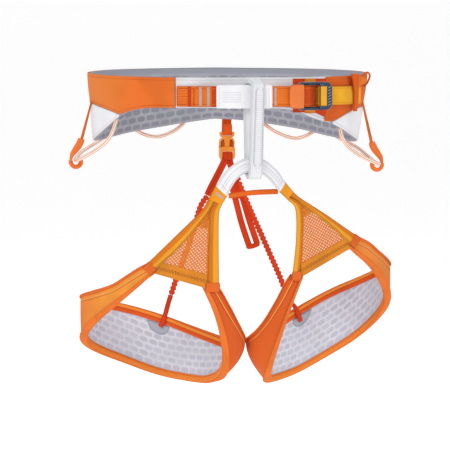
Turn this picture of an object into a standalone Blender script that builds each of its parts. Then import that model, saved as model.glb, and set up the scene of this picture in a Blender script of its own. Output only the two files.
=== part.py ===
"""Climbing harness: a padded waist belt, a belay loop and two leg loops, sewn and moulded from pieces.

All lengths below are in millimetres. The origin is the centre of the waist opening at the height of the
tie-in webbing. +Z is up, -Y is the wearer's front, and +X is on the right for someone facing the front.
"""
from math import cos, pi, radians, sin, sqrt

import bmesh
import bpy
from mathutils import Matrix, Vector

MM = 0.001
GAP = 0.4

# Waist belt: an oval wall. A bearing is an angle in degrees, 0 at the front and positive towards +X.
BELT_CENTRE_X = -13.0
BELT_HALF_WIDTH = 150.6
BELT_HALF_DEPTH = 105.0
BELT_STEP = 4
LINING = 4.0
SHELL = 1.2
TONGUE_START, TONGUE_END = -28, 40
LEFT_SHELL_FRONT, RIGHT_SHELL_FRONT = -28, 36
LEFT_WING_FRONT, RIGHT_WING_FRONT, WING_BACK = 58, 44, 128
# how far each hip is drawn in at the upper edge, and further for each millimetre below it
BELT_DRAWN_IN = {"left": (1.5, 0.07), "right": (2.5, 0.15)}
BELT_TOP = [(0, 19.5), (30, 19.5), (60, 21.0), (90, 23.0), (130, 25.5), (180, 27.0)]
LEFT_BELT_BOTTOM = [(0, -12.5), (38, -12.0), (48, -14.5), (56, -20.0), (65, -30.7), (75, -39.5),
                    (88, -46.5), (100, -49.2), (112, -49.8), (125, -47.4), (140, -42.8), (155, -38.2),
                    (170, -32.8), (180, -29.5)]
RIGHT_BELT_BOTTOM = [(0, -12.5), (14, -13.0), (22, -15.5), (28, -21.0), (34, -25.6), (40, -28.6),
                     (52, -38.2), (62, -44.2), (75, -48.5), (95, -51.6), (110, -49.6), (125, -46.8),
                     (140, -41.0), (155, -35.6), (168, -31.2), (180, -29.5)]
LEFT_SHELL_BOTTOM = [(28, -12.5), (38, -12.0), (48, -14.5), (56, -18.9), (62, -16.0), (72, -12.2),
                     (90, -9.0), (110, -19.0), (128, -46.5)]
RIGHT_SHELL_BOTTOM = [(36, -26.4), (39, -27.2), (43, -25.2), (48, -21.2), (56, -16.1), (64, -13.6),
                      (75, -12.4), (90, -11.0), (110, -20.0), (128, -45.5)]

# Webbing
WEBBING_HALF_HEIGHT = 10.6
WEBBING = 2.2
WEBBING_PATH = [(-82, -95.6), (-66, -103.4), (-46, -112.0), (-24, -117.4), (-4, -118.5), (14, -117.8),
                (30, -115.8), (42.5, -113.2)]

# Belay loop: an upright stadium round a vertical axis, twisted more at the top than at the bottom
BELAY_AXIS = (-6.0, -118.5)
BELAY_HALF_GAP = 9.0
BELAY_TOP, BELAY_BOTTOM, BELAY_CROWN = 15.6, -82.9, 5.6
BELAY_WIDTH, BELAY_THICK = 14.5, 3.6
BELAY_TWIST_TOP, BELAY_TWIST_BOTTOM = 20.0, 4.0

# Waist buckle, in its own plane: s runs along the webbing, z is up
BUCKLE_CENTRE = (60.0, -102.5)
BUCKLE_TURN = 22.0
BUCKLE_HALF_LENGTH, BUCKLE_HALF_HEIGHT, BUCKLE_THICK = 22.0, 14.6, 3.2
SLIDER_START, SLIDER_END = 5.5, 11.0

# Leg loops: oval walls that lean in at the crotch. Bearings run from the front over the outer side.
LEG_CENTRE_X = 85.0
LEG_LONG, LEG_SHORT, LEG_TURN = 98.0, 66.0, -45.0
LEG_SPANS = 52
LEG_SHELL, LEG_LINING, BINDING = 1.3, 4.0, 1.0
LEG_WALL = LEG_SHELL + GAP + LEG_LINING
LEAN, LEAN_CENTRE, LEAN_FRONT, LEAN_BACK = 22.0, 292.0, 48.0, 82.0
# bearings of the two ends of a leg loop's upper and lower edge, and the heights of both edges
LEG_UPPER_ENDS = {"left": (22.0, 330.0), "right": (25.0, 330.5)}
LEG_LOWER_ENDS = {"left": (15.0, 337.5), "right": (18.5, 338.0)}
LEG_UPPER = {
    "left": [(15, -173.5), (22, -176.5), (30, -181), (45, -191), (60, -200), (90, -210),
             (120, -219), (150, -229), (180, -241), (210, -252), (240, -260), (270, -265),
             (290, -262), (305, -251), (314, -237), (322, -218), (330, -198.4), (338, -197)],
    "right": [(18, -147.5), (25, -149.5), (45, -158), (60, -167), (90, -181), (120, -192),
              (150, -212), (180, -233), (210, -248), (240, -257), (270, -262), (290, -259),
              (305, -249), (314, -235), (322, -214), (330.5, -188), (338, -186)],
}
LEG_LOWER = {
    "left": [(15, -185), (22, -190.5), (30, -198), (45, -210), (60, -221), (90, -243),
             (120, -267), (150, -289), (180, -306), (210, -312), (240, -312), (270, -307),
             (290, -301), (305, -289), (318, -260), (328, -228), (337.5, -199.5)],
    "right": [(18.5, -160.5), (30, -169), (45, -178), (60, -188), (90, -212), (120, -242), (150, -280),
              (180, -304), (210, -313), (240, -313), (270, -308), (290, -301), (305, -292), (318, -265),
              (328, -229), (338, -189.5)],
}

# Rear drop buckle, round a vertical axis behind the wearer
DROP_AXIS = (2.3, 108.3)
DROP_HALF_WIDTH, DROP_HALF_THICK = 8.5, 3.5

ORANGE = (0.75, 0.15, 0.028, 1)
DEEP_ORANGE = (0.62, 0.07, 0.02, 1)
YELLOW_ORANGE = (0.85, 0.35, 0.03, 1)
WHITE = (0.88, 0.88, 0.9, 1)
GREY = (0.4, 0.4, 0.44, 1)
BLUE = (0.03, 0.07, 0.14, 1)


# ---------------------------------------------------------------- materials
def material(name, colour, roughness, metallic=0.0):
    """A plain Principled material."""
    made = bpy.data.materials.new(name)
    made.use_nodes = True
    shader = made.node_tree.nodes["Principled BSDF"]
    shader.inputs["Base Color"].default_value = colour
    shader.inputs["Roughness"].default_value = roughness
    shader.inputs["Metallic"].default_value = metallic
    return made


def fabric(node, colour):
    """Each sewn piece has its own woven material."""
    return material(node + "_fabric", colour, 0.85)


def plastic(node, colour):
    """Moulded pieces are a little glossier than cloth."""
    return material(node + "_plastic", colour, 0.4)


def anodised(node, colour):
    """Coloured aluminium of the waist buckle."""
    return material(node + "_metal", colour, 0.35, 0.9)


# ---------------------------------------------------------------- curves
def smooth_value(keys, at):
    """Height on a smooth curve through (position, height) keys, held level past both ends."""
    last = len(keys) - 1
    if at <= keys[0][0]:
        return keys[0][1]
    for index in range(last):
        (start, low), (end, high) = keys[index], keys[index + 1]
        if at <= end:
            before, after = keys[max(index - 1, 0)], keys[min(index + 2, last)]
            span = end - start
            slope_in = (high - before[1]) / (end - before[0]) * span
            slope_out = (after[1] - low) / (after[0] - start) * span
            t = (at - start) / span
            rise = low + (high - low) * t * t * (3 - 2 * t)
            return rise + t * (1 - t) * ((1 - t) * slope_in - t * slope_out)
    return keys[-1][1]


def smooth_path(points, count):
    """Evenly spread points on a Catmull-Rom curve through the given points."""
    given = [Vector(point) for point in points]
    given = [given[0] * 2 - given[1]] + given + [given[-1] * 2 - given[-2]]
    dense = []
    for index in range(1, len(given) - 2):
        p0, p1, p2, p3 = given[index - 1:index + 3]
        for step in range(24):
            t = step / 24
            dense.append(0.5 * (2 * p1 + (p2 - p0) * t + (2 * p0 - 5 * p1 + 4 * p2 - p3) * t * t
                                + (3 * p1 - p0 - 3 * p2 + p3) * t * t * t))
    dense.append(given[-2])
    lengths = [0.0]
    for one, two in zip(dense, dense[1:]):
        lengths.append(lengths[-1] + (two - one).length)
    path, place = [], 0
    for step in range(count):
        target = lengths[-1] * step / (count - 1)
        while place < len(dense) - 2 and lengths[place + 1] < target:
            place += 1
        share = (target - lengths[place]) / (lengths[place + 1] - lengths[place])
        path.append(dense[place].lerp(dense[place + 1], min(share, 1)))
    return path


def directions(path):
    """Unit tangent at each point of a path."""
    last = len(path) - 1
    return [(path[min(i + 1, last)] - path[max(i - 1, 0)]).normalized() for i in range(last + 1)]


# ---------------------------------------------------------------- solids
def finish(name, mesh, surface, smooth=False):
    """Scale a mesh drawn in millimetres to metres, face it outwards and link its object."""
    mesh.transform(Matrix.Scale(MM, 4))
    bmesh.ops.recalc_face_normals(mesh, faces=mesh.faces)
    if mesh.calc_volume(signed=True) < 0:
        bmesh.ops.reverse_faces(mesh, faces=mesh.faces)
    data = bpy.data.meshes.new(name)
    mesh.to_mesh(data)
    mesh.free()
    data.materials.append(surface)
    if smooth:
        data.shade_smooth()
        data.set_sharp_from_angle(angle=radians(40))
    made = bpy.data.objects.new(name, data)
    bpy.context.collection.objects.link(made)
    return made


def skin(mesh, rings):
    """Triangles between neighbouring rings; each is split from its higher to its lower corner."""
    for one, two in zip(rings, rings[1:]):
        for i in range(len(one)):
            j = (i + 1) % len(one)
            if one[i].co.z > one[j].co.z:
                mesh.faces.new((one[i], one[j], two[j]))
                mesh.faces.new((one[i], two[j], two[i]))
            else:
                mesh.faces.new((one[i], one[j], two[i]))
                mesh.faces.new((one[j], two[j], two[i]))


def loft(name, sections, surface, closed=False, smooth=False):
    """Closed solid through a row of sections with the same number of corners."""
    mesh = bmesh.new()
    rings = [[mesh.verts.new(corner) for corner in section] for section in sections]
    if closed:
        rings.append(rings[0])
    else:
        mesh.faces.new(rings[0])
        mesh.faces.new(rings[-1])
    skin(mesh, rings)
    return finish(name, mesh, surface, smooth)


def sleeve(name, outer, inner, surface):
    """Open-ended tube between rows of outer and inner sections."""
    mesh = bmesh.new()
    count = len(outer[0])
    outside = [[mesh.verts.new(corner) for corner in section] for section in outer]
    inside = [[mesh.verts.new(corner) for corner in section] for section in inner]
    skin(mesh, outside)
    skin(mesh, inside)
    for end in (0, -1):
        for i in range(count):
            j = (i + 1) % count
            mesh.faces.new((outside[end][i], outside[end][j], inside[end][j], inside[end][i]))
    return finish(name, mesh, surface)


def sheet(name, edge_a, edge_b, thickness, surface, lift=0.0):
    """Thin strap between two edges given at matching points; lift moves it along its normal."""
    middle = [(a + b) / 2 for a, b in zip(edge_a, edge_b)]
    sections = []
    for a, b, along in zip(edge_a, edge_b, directions(middle)):
        normal = (b - a).cross(along).normalized()
        up, down = normal * (lift + thickness / 2), normal * (lift - thickness / 2)
        sections.append([a + up, b + up, b + down, a + down])
    return loft(name, sections, surface)


def strap(name, points, width, thickness, surface, count, across):
    """Strap of one width along a smooth path; across is roughly the direction of its width."""
    path = smooth_path(points, count)
    edge_a, edge_b = [], []
    for point, along in zip(path, directions(path)):
        side = Vector(across)
        side = (side - along * side.dot(along)).normalized() * width / 2
        edge_a.append(point + side)
        edge_b.append(point - side)
    return sheet(name, edge_a, edge_b, thickness, surface)


def wall(name, plan, offset, thickness, low, high, surface):
    """Strap on edge: an upright wall along a plan path, moved sideways by offset towards the front."""
    sections = []
    for point, along in zip(plan, directions(plan)):
        front = Vector((along.y, -along.x, 0))
        near, far = point + front * (offset + thickness / 2), point + front * (offset - thickness / 2)
        sections.append([near + Vector((0, 0, high)), near + Vector((0, 0, low)),
                         far + Vector((0, 0, low)), far + Vector((0, 0, high))])
    return loft(name, sections, surface)


def tube(name, points, radius, surface, count, sides=8):
    """Round bar along a smooth path, without twist."""
    path = smooth_path(points, count)
    tangents = directions(path)
    side = tangents[0].orthogonal().normalized()
    sections = []
    for point, along in zip(path, tangents):
        side = (side - along * side.dot(along)).normalized()
        up = along.cross(side)
        sections.append([point + (side * cos(2 * pi * i / sides) + up * sin(2 * pi * i / sides)) * radius
                         for i in range(sides)])
    return loft(name, sections, surface, smooth=True)


def block(name, low, high, surface, bevel=0.0):
    """Box between two corners, with its edges rounded when bevel is given."""
    mesh = bmesh.new()
    bmesh.ops.create_cube(mesh, size=1)
    for corner in mesh.verts:
        corner.co = Vector([lo + (hi - lo) * (part + 0.5) for lo, hi, part in zip(low, high, corner.co)])
    if bevel:
        upright = [edge for edge in mesh.edges
                   if abs((edge.verts[0].co - edge.verts[1].co).normalized().y) > 0.9]
        bmesh.ops.bevel(mesh, geom=upright, offset=bevel, segments=3, affect="EDGES", profile=0.5)
    return finish(name, mesh, surface)


def plate(name, outline, front, back, surface):
    """Flat outline in X and Z, given thickness from front to back in Y."""
    mesh = bmesh.new()
    near = [mesh.verts.new((x, front, z)) for x, z in outline]
    far = [mesh.verts.new((x, back, z)) for x, z in outline]
    mesh.faces.new(near)
    mesh.faces.new(far)
    for i in range(len(outline)):
        j = (i + 1) % len(outline)
        mesh.faces.new((near[i], near[j], far[j], far[i]))
    return finish(name, mesh, surface)


def cut(target, cutter):
    """Take the cutter out of the target and leave it as a hidden guide."""
    cutter.hide_render = True
    cutter.display_type = "WIRE"
    boolean = target.modifiers.new(cutter.name, "BOOLEAN")
    boolean.operation = "DIFFERENCE"
    boolean.solver = "EXACT"
    boolean.object = cutter


# ---------------------------------------------------------------- waist belt
def belt_point(bearing, outward, height):
    """Point on the belt's wall, a distance outside its face."""
    t = radians(bearing)
    face = Vector((BELT_CENTRE_X + BELT_HALF_WIDTH * sin(t), -BELT_HALF_DEPTH * cos(t), height))
    level, slope = BELT_DRAWN_IN["right" if sin(t) > 0 else "left"]
    face.x -= (1 if sin(t) > 0 else -1) * (level + slope * (24 - height)) * sin(t) ** 4
    normal = Vector((sin(t) / BELT_HALF_WIDTH, -cos(t) / BELT_HALF_DEPTH, 0)).normalized()
    return face + normal * outward


def fold(bearing):
    """Bearing turned to -180..180: negative on the left half of the belt, positive on the right."""
    return (bearing + 180) % 360 - 180


def belt_top(bearing):
    return smooth_value(BELT_TOP, abs(fold(bearing)))


def belt_bottom(bearing):
    keys = LEFT_BELT_BOTTOM if fold(bearing) < 0 else RIGHT_BELT_BOTTOM
    return smooth_value(keys, abs(fold(bearing)))


def shell_bottom(bearing):
    """Lower edge of the coloured shell: it rises over the hip wing and follows the lining elsewhere."""
    if abs(fold(bearing)) >= WING_BACK:
        return belt_bottom(bearing)
    keys = LEFT_SHELL_BOTTOM if fold(bearing) < 0 else RIGHT_SHELL_BOTTOM
    return max(smooth_value(keys, abs(fold(bearing))), belt_bottom(bearing))


def band(name, start, end, step, point, inner, outer, top, bottom, surface):
    """Closed strip standing on a curved wall between two bearings."""
    sections = []
    for index in range(round((end - start) / step) + 1):
        bearing = start + index * step
        high, low = top(bearing), bottom(bearing)
        sections.append([point(bearing, outer, high), point(bearing, outer, low),
                         point(bearing, inner, low), point(bearing, inner, high)])
    return loft(name, sections, surface)


def shorten(start, end, step, trim):
    """Step that spreads the stations of a band whose two ends are trimmed to leave a seam."""
    count = round((end - start) / step)
    return start + trim, end - trim, (end - start - 2 * trim) / count


def build_belt():
    """Lining all round the back, a tongue across the front, and shells and hip wings outside."""
    seam = 0.2
    start, end, step = shorten(TONGUE_END, 360 + TONGUE_START, BELT_STEP, seam)
    band("belt_lining", start, end, step, belt_point, -LINING, 0, belt_top, belt_bottom,
         fabric("belt_lining", GREY))
    start, end, step = shorten(TONGUE_START, TONGUE_END, BELT_STEP, seam)
    band("belt_tongue", start, end, step, belt_point, -LINING, 0, belt_top, belt_bottom,
         fabric("belt_tongue", WHITE))
    low, high = GAP, GAP + SHELL
    seam_back = 180 - seam
    for side, front, wing in (("left", LEFT_SHELL_FRONT, -LEFT_WING_FRONT),
                              ("right", RIGHT_SHELL_FRONT, RIGHT_WING_FRONT)):
        sign = -1 if side == "left" else 1
        step = (sign * seam_back - front) / round((180 - abs(front)) / BELT_STEP)
        band("belt_shell_" + side, front, sign * seam_back, step, belt_point, low, high, belt_top,
             shell_bottom, fabric("belt_shell_" + side, ORANGE))
        band("hip_wing_" + side, wing, sign * (WING_BACK - 4), sign * BELT_STEP, belt_point, low,
             high, lambda bearing: shell_bottom(bearing) - GAP,
             lambda bearing: belt_bottom(bearing) - GAP, fabric("hip_wing_" + side, WHITE))


def build_buckle_backing():
    """Red end piece of the right half and the light strap that holds the buckle to it."""
    low = GAP
    band("belt_end_patch", 20, 32, BELT_STEP, belt_point, low, low + SHELL, lambda bearing: 18.5,
         lambda bearing: -17.0, fabric("belt_end_patch", DEEP_ORANGE))
    band("buckle_anchor_strap", 24, 32, BELT_STEP, belt_point, low + SHELL + GAP, low + 2 * SHELL + GAP,
         lambda bearing: 18.0, lambda bearing: -18.0, fabric("buckle_anchor_strap", YELLOW_ORANGE))


# ---------------------------------------------------------------- waist webbing and buckle
def buckle_point(s, out, height=0.0):
    """Point in the waist buckle's plane: s along the webbing, out towards the front."""
    turn = radians(BUCKLE_TURN)
    return Vector((BUCKLE_CENTRE[0] + s * cos(turn) + out * sin(turn),
                   BUCKLE_CENTRE[1] + s * sin(turn) - out * cos(turn), height))


def plan(points):
    return [(x, y, 0) for x, y in points]


def build_webbing():
    """Waist webbing, the tie-in sheath over it and the folded cap at the buckle."""
    height = WEBBING_HALF_HEIGHT
    # over the near bar of the buckle, then down through its window and behind
    over = [buckle_point(-14, 2.9)[:2], buckle_point(-8, 2.6)[:2], buckle_point(-3.5, -1.2)[:2],
            buckle_point(0, -3.6)[:2], buckle_point(3.6, -4.2)[:2]]
    wall("waist_webbing", smooth_path(plan(WEBBING_PATH + over), 40), 0, WEBBING, -height, height,
         fabric("waist_webbing", ORANGE))
    sheath = smooth_path(plan([(-43.5, -112.85), (-24, -117.4), (-4, -118.5), (13, -117.9)]), 13)
    outer, inner = [], []
    for point, along in zip(sheath, directions(sheath)):
        front = Vector((along.y, -along.x, 0))
        for rows, half, reach in ((outer, 2.8, height + 1.4), (inner, 1.8, height + 0.5)):
            up = Vector((0, 0, reach))
            rows.append([point + front * half + up, point + front * half - up,
                         point - front * half - up, point - front * half + up])
    sleeve("tie_in_sheath", outer, inner, fabric("tie_in_sheath", WHITE))
    cap = [(31.5, -119.4), buckle_point(-22, 6.1)[:2], buckle_point(-16.5, 5.9)[:2]]
    wall("webbing_cap", smooth_path(plan(cap), 6), 0, 1.4, -12.6, 12.2, fabric("webbing_cap", ORANGE))


def build_buckle():
    """Aluminium frame with a window, the sliding bar and the webbing turned round the bar."""
    turn = radians(BUCKLE_TURN)
    place = Vector((*BUCKLE_CENTRE, 0)) * MM
    length, height, half = BUCKLE_HALF_LENGTH, BUCKLE_HALF_HEIGHT, BUCKLE_THICK / 2
    frame = block("buckle_frame", (-length, -half, -height), (length, half, height),
                  anodised("buckle_frame", BLUE), 6.0)
    window = block("buckle_window_guide", (-17.5, -5, -11.2), (14.2, 5, 11.2), frame.active_material, 2.5)
    bar = block("buckle_slider", (SLIDER_START, -4.1, -12.6), (SLIDER_END, -2.0, 12.6),
                anodised("buckle_slider", BLUE), 1.0)
    for piece in (frame, window, bar):
        piece.location = place
        piece.rotation_euler.z = turn
    cut(frame, window)
    # U-turn of webbing round the far edge of the bar, open towards the near side
    turned = [(5.2, 5.2), (9.0, 5.2), (12.0, 4.9), (12.9, 3.05), (12.0, 1.2), (9.0, 0.9), (5.2, 0.9)]
    wall("buckle_webbing_turn", smooth_path([buckle_point(s, out) for s, out in turned], 16), 0, 1.1,
         -WEBBING_HALF_HEIGHT + 0.4, WEBBING_HALF_HEIGHT - 0.4,
         fabric("buckle_webbing_turn", YELLOW_ORANGE))


def build_tail():
    """Loose end of the waist webbing and the elastic keeper that holds it against the right hip."""
    tail = [buckle_point(4.6, -4.2)[:2], buckle_point(13, -4.2)[:2], buckle_point(20, -4.2)[:2],
            buckle_point(25, -4.0)[:2], (92.5, -84.0), belt_point(50, 4.6, 0)[:2],
            belt_point(56, 3.8, 0)[:2], belt_point(62, 3.6, 0)[:2]]
    wall("webbing_tail", smooth_path(plan(tail), 22), 0, 1.8, -9.6, 9.6,
         fabric("webbing_tail", YELLOW_ORANGE))
    band("keeper_band", 50, 62, BELT_STEP, belt_point, 7.0, 8.2, lambda bearing: 22.0,
         lambda bearing: -16.0, fabric("keeper_band", ORANGE))


# ---------------------------------------------------------------- belay loop and leg bridge
def belay_twist(height):
    share = (height - BELAY_BOTTOM) / (BELAY_TOP - BELAY_BOTTOM)
    return radians(BELAY_TWIST_BOTTOM + (BELAY_TWIST_TOP - BELAY_TWIST_BOTTOM) * min(max(share, 0), 1))


def belay_place(across, depth, height):
    """Point in the belay loop's own section, turned by the twist at that height."""
    turn = belay_twist(height)
    return Vector((BELAY_AXIS[0] + across * cos(turn) - depth * sin(turn),
                   BELAY_AXIS[1] + across * sin(turn) + depth * cos(turn), height))


def belay_outline(offset):
    """Depth and height round the stadium, at a distance outside its middle line."""
    radius = BELAY_HALF_GAP
    low, high = BELAY_BOTTOM + radius, BELAY_TOP - BELAY_CROWN
    outline = []
    for step in range(7):
        outline.append((radius + offset, low + (high - low) * step / 7))
    for step in range(7):
        turn = pi * step / 7
        outline.append(((radius + offset) * cos(turn), high + (BELAY_CROWN + offset) * sin(turn)))
    for step in range(7):
        outline.append((-radius - offset, high - (high - low) * step / 7))
    for step in range(7):
        turn = pi + pi * step / 7
        outline.append(((radius + offset) * cos(turn), low + (radius + offset) * sin(turn)))
    return outline


def build_belay_loop():
    """Closed loop of thick webbing and the stitched overlap on its front strand."""
    half, width = BELAY_THICK / 2, BELAY_WIDTH / 2
    sections = []
    for (out_d, out_h), (in_d, in_h) in zip(belay_outline(half), belay_outline(-half)):
        sections.append([belay_place(-width, out_d, out_h), belay_place(width, out_d, out_h),
                         belay_place(width, in_d, in_h), belay_place(-width, in_d, in_h)])
    loft("belay_loop", sections, fabric("belay_loop", WHITE), closed=True)
    depth = -BELAY_HALF_GAP - half - GAP
    sections = []
    for step in range(8):
        height = BELAY_TOP - BELAY_CROWN - 1 - 80 * step / 7
        sections.append([belay_place(-3.5, depth - 0.8, height), belay_place(5.5, depth - 0.8, height),
                         belay_place(5.5, depth, height), belay_place(-3.5, depth, height)])
    loft("belay_loop_overlap", sections, fabric("belay_loop_overlap", WHITE))


BRIDGE_OUTER = [(-42.9, -104, -92.2), (-34.3, -109, -77.5), (-24.7, -114, -68.7), (-13, -117.6, -62.8),
                (2.7, -117.6, -63.8), (15.2, -113, -72), (23.2, -108.5, -80), (29.4, -104, -89.2)]
BRIDGE_INNER = [(-31.4, -104, -102.7), (-23.8, -109, -88), (-16.8, -114, -80.5), (-9.5, -117.6, -77.8),
                (1.0, -117.6, -78.6), (10.2, -113, -84.8), (16.8, -108.5, -91.5), (23.1, -104, -99)]


def build_bridge():
    """White arch that joins the two leg loops, and the flat strap between its feet."""
    sheet("leg_bridge", smooth_path(BRIDGE_OUTER, 17), smooth_path(BRIDGE_INNER, 17), WEBBING,
          fabric("leg_bridge", WHITE))
    strap("bridge_cross_strap", [(-29.2, -101.6, -102.8), (-4, -101.2, -99.6), (22.4, -101.6, -98.6)],
          4.6, 1.2, fabric("bridge_cross_strap", ORANGE), 9, (0, 0, 1))


# ---------------------------------------------------------------- leg loops
def leg_lean(bearing):
    """How far the lower edge is drawn in towards the thigh near the crotch; its upper half leans less."""
    reach = LEAN_FRONT if bearing > LEAN_CENTRE else LEAN_BACK
    share = min(abs(bearing - LEAN_CENTRE) / reach, 1)
    return LEAN * 0.5 * (1 + cos(pi * share))


def leg_wall(side):
    """Functions that give a leg loop's wall points, its upper edge and its lower edge."""
    sign = -1 if side == "left" else 1

    def top(bearing):
        return smooth_value(LEG_UPPER[side], bearing)

    def bottom(bearing):
        return smooth_value(LEG_LOWER[side], bearing)

    def point(bearing, outward, height):
        turn = radians(bearing - LEG_TURN)
        radius = LEG_LONG * LEG_SHORT / sqrt((LEG_SHORT * cos(turn)) ** 2 + (LEG_LONG * sin(turn)) ** 2)
        share = min(max((top(bearing) - height) / (top(bearing) - bottom(bearing)), 0), 1)
        drawn_in = share / 2 if share < 0.5 else share * 1.5 - 0.5
        reach = radius + outward - leg_lean(bearing) * drawn_in
        t = radians(bearing)
        return Vector((sign * (LEG_CENTRE_X + reach * sin(t)), -reach * cos(t), height))

    return point, top, bottom


def leg_bearings(side):
    """Matching bearings along both edges; the ends of the band are cut on the slant."""
    upper, lower = LEG_UPPER_ENDS[side], LEG_LOWER_ENDS[side]
    shares = [index / LEG_SPANS for index in range(LEG_SPANS + 1)]
    return [(upper[0] + (upper[1] - upper[0]) * share, lower[0] + (lower[1] - lower[0]) * share)
            for share in shares]


def leg_band(name, side, inner, outer, surface):
    """Layer of a leg loop between two offsets from the wall."""
    point, top, bottom = leg_wall(side)
    sections = []
    for upper, lower in leg_bearings(side):
        high, low = top(upper), bottom(lower)
        middle = (upper + lower) / 2
        level = (top(middle) + bottom(middle)) / 2
        sections.append([point(upper, outer, high), point(middle, outer, level), point(lower, outer, low),
                         point(lower, inner, low), point(middle, inner, level), point(upper, inner, high)])
    loft(name, sections, surface)


def binding(name, side, up, outer_reach, inner_reach, surface):
    """Folded tape over one edge of a leg loop; up is 1 for the upper edge and -1 for the lower edge."""
    point, top, bottom = leg_wall(side)
    edge = top if up > 0 else bottom
    room = 0.6
    outside = (room, room + BINDING)
    inside = (-LEG_WALL - room - 0.2, -LEG_WALL - room - 0.2 - BINDING)
    sections = []
    for upper, lower in leg_bearings(side)[BINDING_FIRST:BINDING_LAST]:
        bearing = upper if up > 0 else lower
        base = edge(bearing)
        lip, roof = base + up * room, base + up * (room + BINDING)
        corners = [(outside[1], roof), (outside[1], base - up * outer_reach),
                   (outside[0], base - up * outer_reach), (outside[0], lip), (inside[0], lip),
                   (inside[0], base - up * inner_reach), (inside[1], base - up * inner_reach),
                   (inside[1], roof)]
        sections.append([point(bearing, out, height) for out, height in corners])
    loft(name, sections, surface)


def patch(name, point, top, centre, radius, surface):
    """Half disc on the inside of the lining, hanging from the top binding."""
    depth = -LEG_WALL - GAP
    sections = []
    for step in range(9):
        share = -0.96 + 1.92 * step / 8
        bearing = centre + share * radius * 0.8
        high = top(bearing) - 9.4
        low = high - radius * sqrt(1 - share * share)
        sections.append([point(bearing, depth, high), point(bearing, depth, low),
                         point(bearing, depth - 0.8, low), point(bearing, depth - 0.8, high)])
    loft(name, sections, surface)


def shrink(edge_a, edge_b, trim):
    """The same pair of edges, drawn together by a trim on each side."""
    near, far = [], []
    for a, b in zip(edge_a, edge_b):
        across = (b - a).normalized() * trim
        near.append(a + across)
        far.append(b - across)
    return near, far


FORK = {
    "left": {
        "collar": [(-43.8, -103.6, -93.2), (-50.2, -101, -105.8), (-31.9, -103.6, -104.0),
                   (-36.1, -101, -111.6)],
        "outer_out": [(-50.8, -100.8, -106.8), (-58.5, -97, -119.4), (-85.9, -84, -148.5),
                      (-110.2, -66.4, -175.2)],
        "outer_in": [(-44.6, -100.6, -109.4), (-51.2, -97, -121.5), (-74.4, -86, -152.6),
                     (-102.4, -70.4, -182.4)],
        "inner_in": [(-43.5, -100.6, -110.0), (-49.2, -98.3, -122.0), (-50.3, -90, -160.0),
                     (-50.4, -84.4, -197.0)],
        "inner_out": [(-36.4, -100.8, -112.6), (-38.8, -98.6, -122.0), (-38.2, -92, -155.0),
                      (-36.6, -84.8, -197.4)],
    },
    "right": {
        "collar": [(30.6, -103.6, -89.8), (38.6, -101, -99.0), (24.2, -103.6, -99.6),
                   (32.0, -101, -106.8)],
        "outer_out": [(39.2, -100.8, -99.6), (47.5, -97.5, -106.2), (77.0, -86, -124.6),
                      (113.0, -65.4, -148.0)],
        "outer_in": [(36.5, -100.6, -103.4), (50.8, -97, -113.4), (79.6, -86, -135.6),
                     (106.4, -69.4, -158.2)],
        "inner_in": [(35.4, -100.6, -104.2), (49.0, -98.3, -115.4), (51.2, -91, -150.0),
                     (50.4, -84.4, -186.6)],
        "inner_out": [(32.6, -100.8, -107.4), (41.4, -98.6, -118.0), (43.2, -92, -150.0),
                      (40.8, -84.8, -186.6)],
    },
}
FORK_COUNT = 16
MESH_START = 4
BINDING_FIRST, BINDING_LAST = 1, 51


def build_fork(side):
    """Collar at the bridge, the two straps that leave it and the hemmed mesh between them."""
    points = FORK[side]
    collar = points["collar"]
    sheet("fork_collar_" + side, smooth_path(collar[:2], 3), smooth_path(collar[2:], 3), 2.4,
          fabric("fork_collar_" + side, YELLOW_ORANGE))
    edges = {name: smooth_path(points[name], FORK_COUNT) for name in
             ("outer_out", "outer_in", "inner_in", "inner_out")}
    sheet("fork_strap_outer_" + side, edges["outer_out"], edges["outer_in"], 1.6,
          fabric("fork_strap_outer_" + side, YELLOW_ORANGE))
    sheet("fork_strap_inner_" + side, edges["inner_in"], edges["inner_out"], 1.6,
          fabric("fork_strap_inner_" + side, YELLOW_ORANGE))
    near, far = shrink(edges["outer_in"], edges["inner_in"], 0.8)
    near, far = near[MESH_START:], far[MESH_START:]
    near.append(near[-1] + (near[-1] - near[-2]) * 0.3)
    far.append(far[-1] + (far[-1] - far[-2]) * 0.3)
    hem = len(near) - 3
    sections = []
    middle = [(a + b) / 2 for a, b in zip(near, far)]
    for index, along in enumerate(directions(middle)):
        half = 0.8 if index > hem else 0.4
        out = (far[index] - near[index]).cross(along).normalized() * half
        sections.append([near[index] + out, far[index] + out, far[index] - out, near[index] - out])
    loft("fork_mesh_" + side, sections, fabric("fork_mesh_" + side, ORANGE))


def build_leg(side):
    """One leg loop: foam lining, shell, edge bindings, rear patch and the fork of straps in front."""
    point, top, _ = leg_wall(side)
    leg_band("leg_shell_" + side, side, -LEG_SHELL, 0, fabric("leg_shell_" + side, ORANGE))
    leg_band("leg_lining_" + side, side, -LEG_WALL, -LEG_SHELL - GAP, fabric("leg_lining_" + side, GREY))
    binding("leg_binding_top_" + side, side, 1, 5, 8, fabric("leg_binding_top_" + side, ORANGE))
    binding("leg_binding_bottom_" + side, side, -1, 5, 7,
            fabric("leg_binding_bottom_" + side, ORANGE))
    patch("rear_patch_" + side, point, top, REAR_ANCHOR[side], 12,
          fabric("rear_patch_" + side, GREY))
    build_fork(side)


REAR_ANCHOR = {"left": 184.5, "right": 185.0}


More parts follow.
